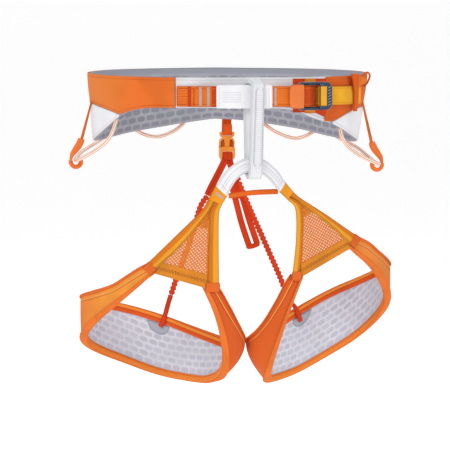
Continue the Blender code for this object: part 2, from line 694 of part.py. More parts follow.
# ---------------------------------------------------------------- rear straps
def build_drop_buckle():
    """Two halves of the drop-seat buckle, with the two prongs that are squeezed to part them."""
    x, y = DROP_AXIS
    half, deep = DROP_HALF_WIDTH, DROP_HALF_THICK
    colour = YELLOW_ORANGE
    half_plug = [(half - 1.2, -44.2), (half, -45.4), (half, -50.2), (1.4, -50.2), (1.4, -62.0)]
    outline = [(x + px, pz) for px, pz in half_plug] + [(x - px, pz) for px, pz in reversed(half_plug)]
    plug = plate("drop_buckle_plug", outline, y - 1.8, y + 1.8, plastic("drop_buckle_plug", colour))
    slot = block("plug_slot_guide", (x - 5.8, y - 5, -49.0), (x + 5.8, y + 5, -46.2), plug.active_material)
    cut(plug, slot)
    for side, sign in (("left", -1), ("right", 1)):
        outline = [(3.6, -50.8), (5.2, -50.8), (5.2, -55.4), (7.6, -56.4), (8.1, -58.0), (8.1, -60.4),
                   (3.6, -60.4)]
        prong = plate("drop_buckle_prong_" + side, [(sign * px, pz + 51) for px, pz in outline],
                      -1.6, 1.6, plastic("drop_buckle_prong_" + side, colour))
        prong.location = Vector((x, y, -51)) * MM
    socket = block("drop_buckle_socket", (x - half, y - deep, -75.5), (x + half, y + deep, -51.2),
                   plastic("drop_buckle_socket", colour), 1.6)
    for label, low, high in (("cavity", (-9.5, -2.2, -63.2), (9.5, 2.2, -50)),
                             ("slot", (-5.9, -6, -68.2), (5.9, 6, -65.2)),
                             ("foot", (-5.9, -6, -77), (5.9, 6, -70.6))):
        cut(socket, block("socket_" + label + "_guide", (x + low[0], y + low[1], low[2]),
                          (x + high[0], y + high[1], high[2]), socket.active_material))


def build_rear_straps():
    """Strap from the belt to the drop buckle, the risers below it and the elastics to the leg loops."""
    x, y = DROP_AXIS
    red = DEEP_ORANGE
    drop = [(x, 107.9, 4), (x, 108.0, -12), (x, 109.2, -30), (x, 111.6, -42), (x, 111.4, -46),
            (x, 108.3, -47.7), (x, 105.2, -46), (x, 105.0, -41), (x, 106.6, -36)]
    strap("rear_drop_webbing", drop, 10.6, 1.2, fabric("rear_drop_webbing", red), 24, (1, 0, 0))
    round_bar = [(4.6, -70.0), (4.2, -67.6), (2.4, -66.6), (0, -66.5), (-2.4, -66.6), (-4.2, -67.6),
                 (-4.6, -70.0), (-4.2, -73.0), (-2.2, -74.7), (0, -75.0), (2.2, -74.7), (4.2, -73.0)]
    loop = [Vector((x, y + depth, height)) for depth, height in round_bar]
    sections = []
    for index, point in enumerate(loop):
        along = (loop[(index + 1) % len(loop)] - loop[index - 1]).normalized()
        out = Vector((1, 0, 0)).cross(along) * 0.6
        side = Vector((5.2, 0, 0))
        sections.append([point + out - side, point + out + side, point - out + side, point - out - side])
    loft("riser_loop", sections, fabric("riser_loop", red), closed=True)
    left = [(-1.2, 107.0, -78.2), (-6.6, 105.6, -88.0), (-15.5, 102.8, -104.0), (-20.6, 101.2, -114.0)]
    strap("riser_strap_left", left, 7.6, 1.4, fabric("riser_strap_left", red), 9, (1, 0, 0))
    right = [(5.4, 108.6, -78.2), (8.0, 107.8, -85.0), (12.4, 106.4, -94.0), (14.6, 105.6, -99.0)]
    strap("riser_strap_right", right, 7.6, 1.4, fabric("riser_strap_right", red), 9, (1, 0, 0))
    outline = [(12.0, -97.5), (21.8, -118.6), (38.6, -170.4), (26.6, -175.0), (10.2, -119.4),
               (3.4, -118.6)]
    slot = [(14.6, -118.8), (20.6, -118.8), (35.0, -167.6), (28.8, -169.8)]
    tails = plate("adjuster_tails", outline, 109.6, 111.2, fabric("adjuster_tails", red))
    cut(tails, plate("tails_slot_guide", slot, 105, 115, tails.active_material))


ELASTIC = {
    "left": [(-20.9, 101.0, -114.8), (-29.6, 98, -128.0), (-39.6, 92, -159.4), (-54.8, 84, -196.0),
             (-64.6, 77.2, -221.0)],
    "right": [(15.0, 105.5, -99.8), (25.5, 102, -126.0), (42.0, 95, -165.0), (58.0, 83, -205.0),
              (64.8, 76.0, -226.0)],
}
REAR_TAB = {
    "left": [(-65.0, 76.8, -221.8), (-69.0, 71.5, -232.0), (-72.0, 65.6, -239.6), (-74.2, 62.0, -244.5),
             (-76.2, 62.4, -250.0), (-78.4, 63.8, -255.0)],
    "right": [(65.1, 75.6, -226.8), (67.6, 71.5, -231.6), (70.2, 64.8, -234.4), (72.6, 61.0, -239.6),
              (75.0, 61.8, -245.5), (77.6, 63.4, -251.8)],
}


def build_elastics(side):
    """Beaded elastic from the riser to the leg loop and the smooth tab sewn inside the loop."""
    sign = -1 if side == "left" else 1
    strap("rear_elastic_" + side, ELASTIC[side], 5.0, 2.4, fabric("rear_elastic_" + side, DEEP_ORANGE), 13,
          (1, 0, sign * 0.4))
    strap("rear_tab_" + side, REAR_TAB[side], 5.4, 1.2, fabric("rear_tab_" + side, DEEP_ORANGE), 11,
          (1, sign * 0.42, sign * 0.4))


# ---------------------------------------------------------------- gear loops
# gear loops as (bearing, outward, height) round the belt, and where the front ones hang lowest
GEAR_LOOPS = {
    "front_left": [(-60.5, 4.4, -18), (-60.2, 4.4, -28), (-60.2, 5.4, -37), (-61.2, 7.2, -43),
                   (-63.4, 9.6, -48.6), (-67.3, 12.7, -54.6), (-73.3, 16.4, -61), (-81, 19.9, -66.6),
                   (-90, 21.4, -69.6), (-99, 20.3, -67.6), (-107, 17.0, -62), (-116, 11.6, -55.6),
                   (-122, 7.6, -50), (-126, 5.2, -43), (-128, 4.4, -33)],
    "front_right": [(46.5, 4.4, -26), (46.0, 4.4, -36), (46.0, 5.8, -44), (48, 9.2, -52.4),
                    (51.8, 13.4, -59.3), (57, 18.4, -65.2), (64.5, 23.6, -70.2), (75, 26.8, -73.6),
                    (88, 27.7, -75), (97, 25.8, -71), (106, 20.1, -61.5), (114, 14.0, -54),
                    (120, 8.6, -48.5), (124, 5.2, -42), (126, 4.4, -33)],
    "rear_left": [(-140, 4.4, -24), (-141.5, 4.4, -36), (-147, 4.8, -44), (-153, 5.4, -48.5),
                  (-158, 5.2, -48),
                  (-163.5, 4.8, -42.5), (-167.5, 4.4, -34), (-168.5, 4.4, -24)],
    "rear_right": [(130.5, 4.4, -26), (132, 4.4, -38), (137, 4.8, -46.5), (143, 5.4, -51),
                   (148, 5.2, -49.5),
                   (154, 4.8, -43.5), (158.5, 4.4, -35), (159.5, 4.4, -26)],
}
SEPARATORS = {"left": (-90, 21.4, -69.6), "right": (88, 27.7, -75)}


def build_gear_loops():
    """Four stiff sleeved tubes sewn to the shells."""
    for place, keys in GEAR_LOOPS.items():
        points = [belt_point(*key) for key in keys]
        tube("gear_loop_" + place, points, 2.1, plastic("gear_loop_" + place, WHITE), 23)


# way of a hook from the open end of its ring up to its strap: across, height, half width, half depth
HOOK_RING, HOOK_HALF = 5.3, 1.1
HOOK_POST = [(4.6, 4.4, 1.6, 2.6), (2.9, 8.6, 2.6, 2.3), (-1.2, 12.8, 3.3, 2.3), (-4.2, 17.4, 3.6, 2.3),
             (-5.6, 22.8, 3.3, 2.3)]
SEPARATOR_STARTS = {"left": -84, "right": 70}


def build_separators():
    """Open hook with a post on each front gear loop, and the strap that ties it to the hip."""
    for side, (bearing, outward, height) in SEPARATORS.items():
        sign = -1 if side == "left" else 1
        centre = belt_point(bearing, outward, height) + Vector((0, 0, -1.4))
        ring = [(HOOK_RING * sin(radians(angle)), -HOOK_RING * cos(radians(angle)), HOOK_HALF, 3.2)
                for angle in range(-120, 111, 23)]
        keys = ring + HOOK_POST
        places = [Vector((across, 0, up)) for across, up, _, _ in keys]
        sections = []
        for place, along, (_, _, half, deep) in zip(places, directions(places), keys):
            out = Vector((along.z, 0, -along.x)) * half
            corners = [place + out - Vector((0, deep, 0)), place + out + Vector((0, deep, 0)),
                       place - out + Vector((0, deep, 0)), place - out - Vector((0, deep, 0))]
            sections.append([centre + Vector((sign * c.x, c.y, c.z)) for c in corners])
        loft("separator_hook_" + side, sections, plastic("separator_hook_" + side, ORANGE))
        start = SEPARATOR_STARTS[side]
        hip, hook = belt_point(start, 2.8, -8), centre + Vector((-sign * 6.0, 0, 24.8))
        path = [hip, hip.lerp(hook, 0.35), hip.lerp(hook, 0.7), hook]
        strap("separator_strap_" + side, path, 3.2, 1.0, fabric("separator_strap_" + side, WHITE), 9,
              (0, 1, 0))


def main():
    for old in list(bpy.data.objects):
        bpy.data.objects.remove(old, do_unlink=True)
    build_belt()
    build_buckle_backing()
    build_webbing()
    build_buckle()
    build_tail()
    build_belay_loop()
    build_bridge()
    build_leg("left")
    build_leg("right")
    build_drop_buckle()
    build_rear_straps()
    for side in ("left", "right"):
        build_elastics(side)
    build_gear_loops()
    build_separators()


main()
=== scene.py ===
from math import copysign, cos, pi, radians, sin, sqrt

import bmesh
import bpy
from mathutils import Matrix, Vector, noise


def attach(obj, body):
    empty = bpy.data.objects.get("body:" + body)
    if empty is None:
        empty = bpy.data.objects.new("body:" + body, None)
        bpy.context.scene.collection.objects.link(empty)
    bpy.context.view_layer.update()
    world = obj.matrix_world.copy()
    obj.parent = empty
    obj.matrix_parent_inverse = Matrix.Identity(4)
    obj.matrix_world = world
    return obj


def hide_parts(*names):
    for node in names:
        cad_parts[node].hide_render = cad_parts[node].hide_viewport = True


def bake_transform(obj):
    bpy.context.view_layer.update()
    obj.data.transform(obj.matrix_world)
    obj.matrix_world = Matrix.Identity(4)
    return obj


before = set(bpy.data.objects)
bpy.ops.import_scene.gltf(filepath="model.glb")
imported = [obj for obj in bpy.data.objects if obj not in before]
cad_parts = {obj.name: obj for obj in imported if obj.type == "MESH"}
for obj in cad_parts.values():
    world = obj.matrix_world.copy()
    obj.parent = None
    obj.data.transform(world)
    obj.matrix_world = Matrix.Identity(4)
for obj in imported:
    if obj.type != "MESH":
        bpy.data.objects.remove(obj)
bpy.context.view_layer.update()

MM = 0.001
THREAD_FINISH = {"roughness": 0.6, "wear": 0, "grain": 0.02}
SWELL_FRAMES, SWELL_LIMIT = 20, 1.6 * MM


# ================================================================ shade graphs
def rgb(text):
    """Linear colour of a six-digit sRGB value."""
    parts = [int(text[i:i + 2], 16) / 255 for i in (0, 2, 4)]
    return tuple(p / 12.92 if p <= 0.04045 else ((p + 0.055) / 1.055) ** 2.4 for p in parts) + (1,)


class Shade:
    """Small writer for one procedural material."""

    def __init__(self, name, roughness=0.85, metallic=0.0, sheen=0.0, coat=0.0):
        self.material = bpy.data.materials.new(name)
        self.material.use_nodes = True
        self.tree = self.material.node_tree
        self.shader = self.tree.nodes["Principled BSDF"]
        self.shader.inputs["Roughness"].default_value = roughness
        self.shader.inputs["Metallic"].default_value = metallic
        self.shader.inputs["Sheen Weight"].default_value = sheen
        self.shader.inputs["Coat Weight"].default_value = coat
        self.shader.inputs["Specular IOR Level"].default_value = 0.12 if roughness > 0.6 else 0.4

    def link(self, socket, value):
        if isinstance(value, bpy.types.NodeSocket):
            self.tree.links.new(value, socket)
        else:
            socket.default_value = value

    def put(self, kind, settings=(), **inputs):
        node = self.tree.nodes.new("ShaderNode" + kind)
        for key, value in settings:
            setattr(node, key, value)
        for key, value in inputs.items():
            self.link(node.inputs[key.replace("_", " ")], value)
        return node

    def math(self, operation, *values):
        node = self.tree.nodes.new("ShaderNodeMath")
        node.operation = operation
        for index, value in enumerate(values):
            self.link(node.inputs[index], value)
        return node.outputs[0]

    def times(self, one, two):
        return self.math("MULTIPLY", one, two)

    def plus(self, one, two):
        return self.math("ADD", one, two)

    def minus(self, one, two):
        return self.math("SUBTRACT", one, two)

    def mix(self, share, one, two):
        node = self.tree.nodes.new("ShaderNodeMix")
        node.data_type = "RGBA"
        self.link(node.inputs[0], share)
        self.link(node.inputs[6], one)
        self.link(node.inputs[7], two)
        return node.outputs[2]

    def pair(self, layer):
        """The two coordinates of a UV layer, in millimetres."""
        split = self.put("SeparateXYZ", Vector=self.put("UVMap", [("uv_map", layer)]).outputs[0])
        return split.outputs[0], split.outputs[1]

    def soft(self, value, low, high):
        """0 below low and 1 above high, smoothly."""
        node = self.tree.nodes.new("ShaderNodeMapRange")
        node.interpolation_type = "SMOOTHSTEP"
        for index, given in enumerate((value, low, high, 0, 1)):
            self.link(node.inputs[index], given)
        return node.outputs[0]

    def line(self, value, centre, half):
        """1 within half a width of the centre, with a soft edge."""
        away = self.math("ABSOLUTE", self.minus(value, centre))
        return self.minus(1, self.soft(away, half * 0.6, half * 1.3))

    def finish(self, base, height, strength, depth):
        """Base colour and bump; returns the material."""
        self.link(self.shader.inputs["Base Color"], base)
        bump = self.put("Bump", Strength=strength, Distance=depth, Height=height)
        self.link(self.shader.inputs["Normal"], bump.outputs[0])
        return self.material

    def speckle(self, size, detail=2.0):
        """Noise in the piece's own space; size is in millimetres."""
        place = self.put("TexCoord").outputs["Object"]
        return self.put("TexNoise", Vector=place, Scale=1000 / size, Detail=detail).outputs[0]


def tint(shade, colour, amount=0.1, size=30.0):
    """The colour, lighter and darker in broad patches."""
    light = tuple(min(c * (1 + amount), 1) for c in colour[:3]) + (1,)
    dark = tuple(c * (1 - amount) for c in colour[:3]) + (1,)
    return shade.mix(shade.soft(shade.speckle(size), 0.35, 0.65), dark, light)


def cloth(name, colour, pitch=1.3, sheen=0.12, roughness=0.88, edge=0.25, stripes=(), seams=(), rib=0.0,
          bricks=None, amount=0.07, fades=(), zones=(), far_half_shading=None):
    """Woven fabric.

    Stripes and seams are (edge, inset, half width, colour), with 'high', 'low' or 'mid' for the edge. Fades and zones
    are (start, end, colour) along the piece. Bricks are (length, height, step along, step across, colour, clear of the
    high edge, clear of the low edge).
    """
    shade = Shade(name, roughness, sheen=sheen * 0.3)
    along, across = shade.pair("flat")
    high, low = shade.pair("edge")
    where = {"high": high, "low": low, "mid": across}
    base = tint(shade, rgb(colour), amount)
    # painted light and shade: the far half of the width takes another tone, as on a creased strap lit on one half
    if far_half_shading:
        base = shade.mix(shade.soft(across, -1.2, 1.2), base, rgb(far_half_shading))
    for start, end, paint in fades:
        base = shade.mix(shade.soft(along, start, end), base, rgb(paint))
    for start, end, paint in zones:
        mark = shade.line(along, (start + end) / 2, (end - start) / 2)
        base = shade.mix(shade.times(mark, 0.85), base, rgb(paint))
    turn = 2 * pi / pitch
    thread = shade.times(shade.math("SINE", shade.times(along, turn)),
                        shade.math("SINE", shade.times(across, turn)))
    height = shade.math("MULTIPLY_ADD", thread, 0.5, 0.5)
    # painted shade: the weave's hollows between threads are darkened
    base = shade.mix(shade.times(shade.minus(1, height), 0.16), base, (0, 0, 0, 1))
    if rib:
        ribs = shade.math("MULTIPLY_ADD", shade.math("SINE", shade.times(across, 2 * pi / rib)), 0.5, 0.5)
        base = shade.mix(shade.times(ribs, 0.07), base, (0, 0, 0, 1))
        height = shade.plus(height, ribs)
    for side, inset, half, paint in stripes:
        base = shade.mix(shade.line(where[side], inset, half), base, rgb(paint))
    # seams are grooves, darkened with painted shade
    for side, inset, half, paint in seams:
        mark = shade.line(where[side], inset, half)
        base = shade.mix(shade.times(mark, 0.8), base, rgb(paint))
        height = shade.minus(height, shade.times(mark, 3.0))
    if bricks:
        length, tall, step_u, step_v, paint, clear_high, clear_low = bricks
        row = shade.math("DIVIDE", low, step_v)
        odd = shade.times(shade.math("FLOOR", row), 0.5)
        place = shade.plus(shade.math("DIVIDE", along, step_u), odd)
        far_u = shade.math("ABSOLUTE", shade.minus(shade.math("FRACT", place), 0.5))
        far_v = shade.math("ABSOLUTE", shade.minus(shade.math("FRACT", row), 0.5))
        size = shade.plus(shade.math("POWER", shade.times(far_u, 2 * step_u / length), 3.4),
                          shade.math("POWER", shade.times(far_v, 2 * step_v / tall), 2.6))
        mark = shade.minus(1, shade.soft(size, 0.6, 1.4))
        for socket, clear in ((high, clear_high), (low, clear_low)):
            mark = shade.times(mark, shade.soft(socket, clear - 0.6, clear + 0.6))
        cell = shade.put("CombineXYZ", X=shade.math("FLOOR", place), Y=shade.math("FLOOR", row)).outputs[0]
        change = shade.put("TexWhiteNoise", Vector=cell).outputs[0]
        mark_tone = shade.mix(change, rgb(paint), tuple(c * 0.9 for c in rgb(paint)[:3]) + (1,))
        base = shade.mix(mark, base, mark_tone)
        height = shade.minus(height, shade.times(mark, 2.0))
    # painted shade: both long edges darken towards near black where the cloth rolls under
    if edge:
        near = shade.math("MINIMUM", high, low)
        edge_mark = shade.minus(1, shade.soft(near, 0.3, 1.4))
        base = shade.mix(shade.times(edge_mark, edge), base, (0.02, 0.01, 0.01, 1))
    return shade.finish(base, height, 0.5, 0.00022)


def plain(name, colour, roughness=0.45, metallic=0.0, coat=0.0, grain=0.06, amount=0.06, wear=0.15):
    """Moulded plastic, metal or thread: fine grain and lighter worn edges."""
    shade = Shade(name, roughness, metallic, coat=coat)
    base = tint(shade, rgb(colour), amount, 12.0)
    if wear:
        point = shade.put("NewGeometry").outputs["Pointiness"]
        edge_mark = shade.times(shade.soft(point, 0.52, 0.62), wear)
        base = shade.mix(edge_mark, base, (0.9, 0.9, 0.9, 1))
    rough = shade.math("MULTIPLY_ADD", shade.speckle(6.0), 0.16, roughness - 0.08)
    shade.link(shade.shader.inputs["Roughness"], rough)
    return shade.finish(base, shade.speckle(1.2, 3.0), grain, 0.0003)


def netting(name, colour, pitch):
    """See-through mesh: slanting threads in two directions with small open holes between them."""
    shade = Shade(name, 0.8, sheen=0.1)
    along, across = shade.pair("flat")
    slanted = (shade.plus(shade.times(along, 0.82), shade.times(across, 0.57)),
               shade.minus(shade.times(along, 0.57), shade.times(across, 0.82)))
    cover = None
    for value in slanted:
        fraction = shade.math("FRACT", shade.math("DIVIDE", value, pitch))
        thread = shade.math("LESS_THAN", fraction, 0.42)
        cover = thread if cover is None else shade.math("MAXIMUM", cover, thread)
    base = shade.mix(cover, rgb("F0A860"), tint(shade, rgb(colour), 0.04, 8.0))
    shade.link(shade.shader.inputs["Base Color"], base)
    shade.link(shade.shader.inputs["Alpha"], shade.math("MULTIPLY_ADD", cover, 0.5, 0.38))
    return shade.material


def striped_tube(name, colour, stripe, round_length, count=6):
    """Stiff sleeve with lengthwise stripes."""
    shade = Shade(name, 0.5, sheen=0.05)
    along, across = shade.pair("flat")
    wave = shade.math("FRACT", shade.times(across, count / round_length))
    mark = shade.line(wave, 0.5, 0.17)
    base = shade.mix(mark, tint(shade, rgb(colour), 0.05, 20.0), rgb(stripe))
    rib = shade.math("SINE", shade.times(along, 2 * pi / 1.1))
    return shade.finish(base, shade.plus(rib, mark), 0.25, 0.0002)


# ================================================================ curves
def smooth_value(keys, at):
    """Value on a smooth curve through (position, value) keys, held level past both ends."""
    last = len(keys) - 1
    if at <= keys[0][0]:
        return keys[0][1]
    for index in range(last):
        (start, low), (end, high) = keys[index], keys[index + 1]
        if at <= end:
            before, after = keys[max(index - 1, 0)], keys[min(index + 2, last)]
            span = end - start
            slope_in = (high - before[1]) / (end - before[0]) * span
            slope_out = (after[1] - low) / (after[0] - start) * span
            t = (at - start) / span
            rise = low + (high - low) * t * t * (3 - 2 * t)
            return rise + t * (1 - t) * ((1 - t) * slope_in - t * slope_out)
    return keys[-1][1]


def curve_point(p0, p1, p2, p3, t):
    """Point a share t of the way from p1 to p2 on a Catmull-Rom curve."""
    return 0.5 * (2 * p1 + (p2 - p0) * t + (2 * p0 - 5 * p1 + 4 * p2 - p3) * t * t
                  + (3 * p1 - p0 - 3 * p2 + p3) * t * t * t)


def smooth_path(points, count):
    """Evenly spread points on a Catmull-Rom curve through the given points."""
    given = [Vector(point) for point in points]
    given = [given[0] * 2 - given[1]] + given + [given[-1] * 2 - given[-2]]
    dense = []
    for index in range(1, len(given) - 2):
        dense += [curve_point(*given[index - 1:index + 3], step / 24) for step in range(24)]
    dense.append(given[-2])
    lengths = [0.0]
    for one, two in zip(dense, dense[1:]):
        lengths.append(lengths[-1] + (two - one).length)
    path, place = [], 0
    for step in range(count):
        target = lengths[-1] * step / (count - 1)
        while place < len(dense) - 2 and lengths[place + 1] < target:
            place += 1
        share = (target - lengths[place]) / max(lengths[place + 1] - lengths[place], 1e-9)
        path.append(dense[place].lerp(dense[place + 1], min(share, 1)))
    return path


def directions(path, closed=False):
    last = len(path) - 1
    if closed:
        return [(path[(i + 1) % (last + 1)] - path[i - 1]).normalized() for i in range(last + 1)]
    return [(path[min(i + 1, last)] - path[max(i - 1, 0)]).normalized() for i in range(last + 1)]


# ================================================================ meshes
def placed(name, data):
    """A new object for a mesh, in the scene."""
    made = bpy.data.objects.new(name, data)
    bpy.context.scene.collection.objects.link(made)
    return made


def mesh_piece(name, rings, along, across, halves, surface, closed=False, sharp=50):
    """Closed skin over rings of points in millimetres, with its own lengths as UV coordinates."""
    count, total = len(rings[0]), len(rings)
    verts = [tuple(point * MM) for ring in rings for point in ring]
    faces, flat, edge = [], [], []
    for i in range(total if closed else total - 1):
        j = (i + 1) % total
        for a in range(count):
            b = (a + 1) % count
            faces.append((i * count + a, i * count + b, j * count + b, j * count + a))
            for ring, row, column in ((i, i, a), (i, i, a + 1), (j, i + 1, a + 1), (j, i + 1, a)):
                flat.append((along[row], across[ring][column]))
                edge.append((halves[ring] - across[ring][column], halves[ring] + across[ring][column]))
    if not closed:
        for ring in (0, total - 1):
            faces.append(tuple(ring * count + a for a in range(count)))
            for a in range(count):
                flat.append((along[ring], across[ring][a]))
                edge.append((halves[ring] - across[ring][a], halves[ring] + across[ring][a]))
    data = bpy.data.meshes.new(name)
    data.from_pydata(verts, [], faces)
    for layer, values in (("flat", flat), ("edge", edge)):
        made = data.uv_layers.new(name=layer)
        made.data.foreach_set("uv", [number for pair in values for number in pair])
    work = bmesh.new()
    work.from_mesh(data)
    bmesh.ops.recalc_face_normals(work, faces=work.faces)
    if work.calc_volume(signed=True) < 0:
        bmesh.ops.reverse_faces(work, faces=work.faces)
    work.to_mesh(data)
    work.free()
    data.materials.append(surface)
    data.shade_smooth()
    data.set_sharp_from_angle(angle=radians(sharp))
    return placed(name, data)


class Ribbon:
    """A strap or band between a low and a high edge, with an outward direction at each station."""

    def __init__(self, lows, highs, normals=None, hint=(0, -1, 0), closed=False):
        self.closed = closed
        self.mid = [(a + b) / 2 for a, b in zip(lows, highs)]
        self.up = [(b - a).normalized() if (b - a).length > 0.01 else Vector((0, 0, 1)) for a,
                   b in zip(lows, highs)]
        self.half = [(b - a).length / 2 for a, b in zip(lows, highs)]
        if normals is None:
            normals, last = [], Vector(hint)
            for up, way in zip(self.up, directions(self.mid, closed)):
                normal = up.cross(way).normalized()
                if normal.dot(last) < 0:
                    normal = -normal
                last = normal
                normals.append(normal)
        self.normal = normals
        self.run = [0.0]
        looped = self.mid + ([self.mid[0]] if closed else [])
        for one, two in zip(looped, looped[1:]):
            self.run.append(self.run[-1] + (two - one).length)
        self.length = self.run[-1]
        self.bow = [0.0] * len(self.mid)

    def at(self, u, v=0.0, out=0.0, edge=None):
        """Point a distance u along, v above the middle (or inside an edge) and out along the normal."""
        u = u % self.length if self.closed else min(max(u, 0), self.length)
        place = 0
        while place < len(self.run) - 2 and self.run[place + 1] < u:
            place += 1
        share = (u - self.run[place]) / max(self.run[place + 1] - self.run[place], 1e-9)
        after = (place + 1) % len(self.mid)
        half = self.half[place] * (1 - share) + self.half[after] * share
        up = self.up[place].lerp(self.up[after], share)
        normal = self.normal[place].lerp(self.normal[after], share)
        if edge == "high":
            v = half - v
        elif edge == "low":
            v = v - half
        out += self.bow[place] * max(1 - abs(v) / max(half, 0.5), 0)
        return self.mid[place].lerp(self.mid[after], share) + up * v + normal * out

    def solid(self, name, back, front, surface, crown=0.0, under=0.0, columns=6, lip=None, wave=0.0,
              wave_size=34.0,
              round_start=0.0, round_end=0.0, sharp=50, ridge=0.0):
        """Closed strip from back to front along the normal, with rounded edges and a crowned face."""
        thick = front - back
        lip = min(thick * 0.45, 0.9) if lip is None else lip
        rings, across, halves = [], [], []
        for index, (mid, up, normal, half) in enumerate(zip(self.mid, self.up, self.normal, self.half)):
            for radius, gone in ((round_start, self.run[index]), (round_end, self.length - self.run[index])):
                if radius and gone < radius:
                    half -= radius - sqrt(max(radius ** 2 - (radius - gone) ** 2, 0)) * 0.999
            half = max(half, 0.5)
            flat = max(1 - lip / half, 0.2)
            outline = []
            for step in range(columns + 1):
                s = flat * (2 * step / columns - 1)
                rise = crown * (1 - (s / flat) ** 2) + ridge * max(0, 1 - abs(s) * 4)
                outline.append((s, front + rise))
            outline += [(flat + (1 - flat) * 0.7, front - lip * 0.3), (1, front - lip), (1, back + lip),
                        (flat + (1 - flat) * 0.7, back + lip * 0.3)]
            for step in range(columns + 1):
                s = flat * (1 - 2 * step / columns)
                outline.append((s, back - under * (1 - (s / flat) ** 2)))
            outline += [(-flat - (1 - flat) * 0.7, back + lip * 0.3), (-1, back + lip), (-1, front - lip),
                        (-flat - (1 - flat) * 0.7, front - lip * 0.3)]
            ring = []
            for s, n in outline:
                n += self.bow[index] * (1 - s * s)
                if wave:
                    n += wave * noise.noise(Vector((self.run[index], s * half, len(name) * 9.1)) / wave_size)
                ring.append(mid + up * (s * half) + normal * n)
            rings.append(ring)
            values = [s * half for s, _ in outline]
            across.append(values + [values[0]])
            halves.append(half)
        return mesh_piece(name, rings, self.run, across, halves, surface, self.closed, sharp)

    def stitches(self, v, edge=None, start=1.0, end=None, stitch=2.0, gap=1.1, out=0.0):
        """Short threads in a row along the ribbon."""
        end = self.length - 1 if end is None else end
        made, u = [], start
        while u + stitch <= end:
            made.append((self.at(u, v, out, edge), self.at(u + stitch, v, out, edge)))
            u += stitch + gap
        return made

    def upright(self, u, low, high, stitch, step, out):
        """Short threads in a row across the ribbon, between two heights."""
        made, v = [], low
        while v < high:
            made.append((self.at(u, v, out), self.at(u, v + stitch, out)))
            v += step
        return made

    def tack(self, u, width, low, high, step=1.1, out=0.0):
        """Dense zigzag bar tack across the ribbon between two heights."""
        made, v, side = [], low, 1
        while v < high:
            made.append((self.at(u - side * width / 2, v, out), self.at(u + side * width / 2, v + step, out)))
            v += step
            side = -side
        return made


THREAD_SIDES = 5
# share of a thread's length and share of its radius, at each ring
THREAD_RINGS = [(0.0, 0.35), (0.2, 0.95), (0.8, 0.95), (1.0, 0.35)]


def threads(name, segments, radius, surface):
    """Short raised threads, one small closed spindle for each segment."""
    verts, faces = [], []
    for start, end in segments:
        way = (end - start).normalized()
        side = way.orthogonal().normalized()
        other = way.cross(side)
        first = len(verts)
        for share, size in THREAD_RINGS:
            centre = start.lerp(end, share)
            for k in range(THREAD_SIDES):
                turn = 2 * pi * k / THREAD_SIDES
                verts.append(tuple((centre + (side * cos(turn) + other * sin(turn)) * radius * size) * MM))
        for ring in range(len(THREAD_RINGS) - 1):
            corner = first + ring * THREAD_SIDES
            for k in range(THREAD_SIDES):
                a, b = corner + k, corner + (k + 1) % THREAD_SIDES
                faces.append((a, b, b + THREAD_SIDES, a + THREAD_SIDES))
        far_end = len(verts) - THREAD_SIDES
        faces.append(tuple(first + THREAD_SIDES - 1 - k for k in range(THREAD_SIDES)))
        faces.append(tuple(far_end + k for k in range(THREAD_SIDES)))
    data = bpy.data.meshes.new(name)
    data.from_pydata(verts, [], faces)
    data.materials.append(surface)
    data.shade_smooth()
    return placed(name, data)


def rail(name, frames, outline, surface, closed=False, sharp=50, scale=None):
    """Sweep of an outline (x, y) through frames (origin, x direction, y direction)."""
    lengths = [0.0]
    origins = [f[0] for f in frames] + ([frames[0][0]] if closed else [])
    for one, two in zip(origins, origins[1:]):
        lengths.append(lengths[-1] + (two - one).length)
    arc = [0.0]
    for one, two in zip(outline, outline[1:] + outline[:1]):
        arc.append(arc[-1] + sqrt((two[0] - one[0]) ** 2 + (two[1] - one[1]) ** 2))
    rings = []
    for index, (origin, right, up) in enumerate(frames):
        size = scale(index) if scale else 1.0
        rings.append([origin + right * x * size + up * y * size for x, y in outline])
    total = len(frames)
    return mesh_piece(name, rings, lengths, [arc] * total, [arc[-1] / 2] * total, surface, closed, sharp)


def tube(name, points, radius, surface, count, sides=12, smooth=True, scale=None, flat=1.0):
    """Round bar along a smooth path, without twist."""
    path = smooth_path(points, count) if smooth else [Vector(p) for p in points]
    tangents = directions(path)
    side = tangents[0].orthogonal().normalized()
    frames = []
    for point, way in zip(path, tangents):
        side = (side - way * side.dot(way)).normalized()
        frames.append((point, side.copy(), way.cross(side)))
    outline = [(radius * cos(2 * pi * k / sides), radius * flat * sin(2 * pi * k / sides)) for k in range(sides)]
    return rail(name, frames, outline, surface, sharp=70, scale=scale)


def strap_ribbon(points, width, count, across, hint=(0, -1, 0), widths=None):
    """Ribbon of one width along a smooth path; across is roughly the direction of its width."""
    path = smooth_path(points, count)
    lows, highs = [], []
    for index, (point, way) in enumerate(zip(path, directions(path))):
        side = Vector(across)
        size = widths(index / (count - 1)) if widths else width
        side = (side - way * side.dot(way)).normalized() * size / 2
        lows.append(point - side)
        highs.append(point + side)
    return Ribbon(lows, highs, hint=hint)


def wall_ribbon(points, low, high, count):
    """Ribbon on edge along a plan path; its outward side is the wearer's front."""
    path = smooth_path([(x, y, 0) for x, y in points], count)
    normals = [Vector((way.y, -way.x, 0)) for way in directions(path)]
    return Ribbon([p + Vector((0, 0, low)) for p in path], [p + Vector((0, 0, high)) for p in path], normals)


def soften(work, width, angle):
    """Rounds the edges that turn by more than an angle in degrees."""
    edges = [e for e in work.edges if len(e.link_faces) == 2 and e.calc_face_angle(0) > radians(angle)]
    bmesh.ops.bevel(work, geom=edges, offset=width * MM, segments=3, affect="EDGES", profile=0.5,
                    clamp_overlap=True)


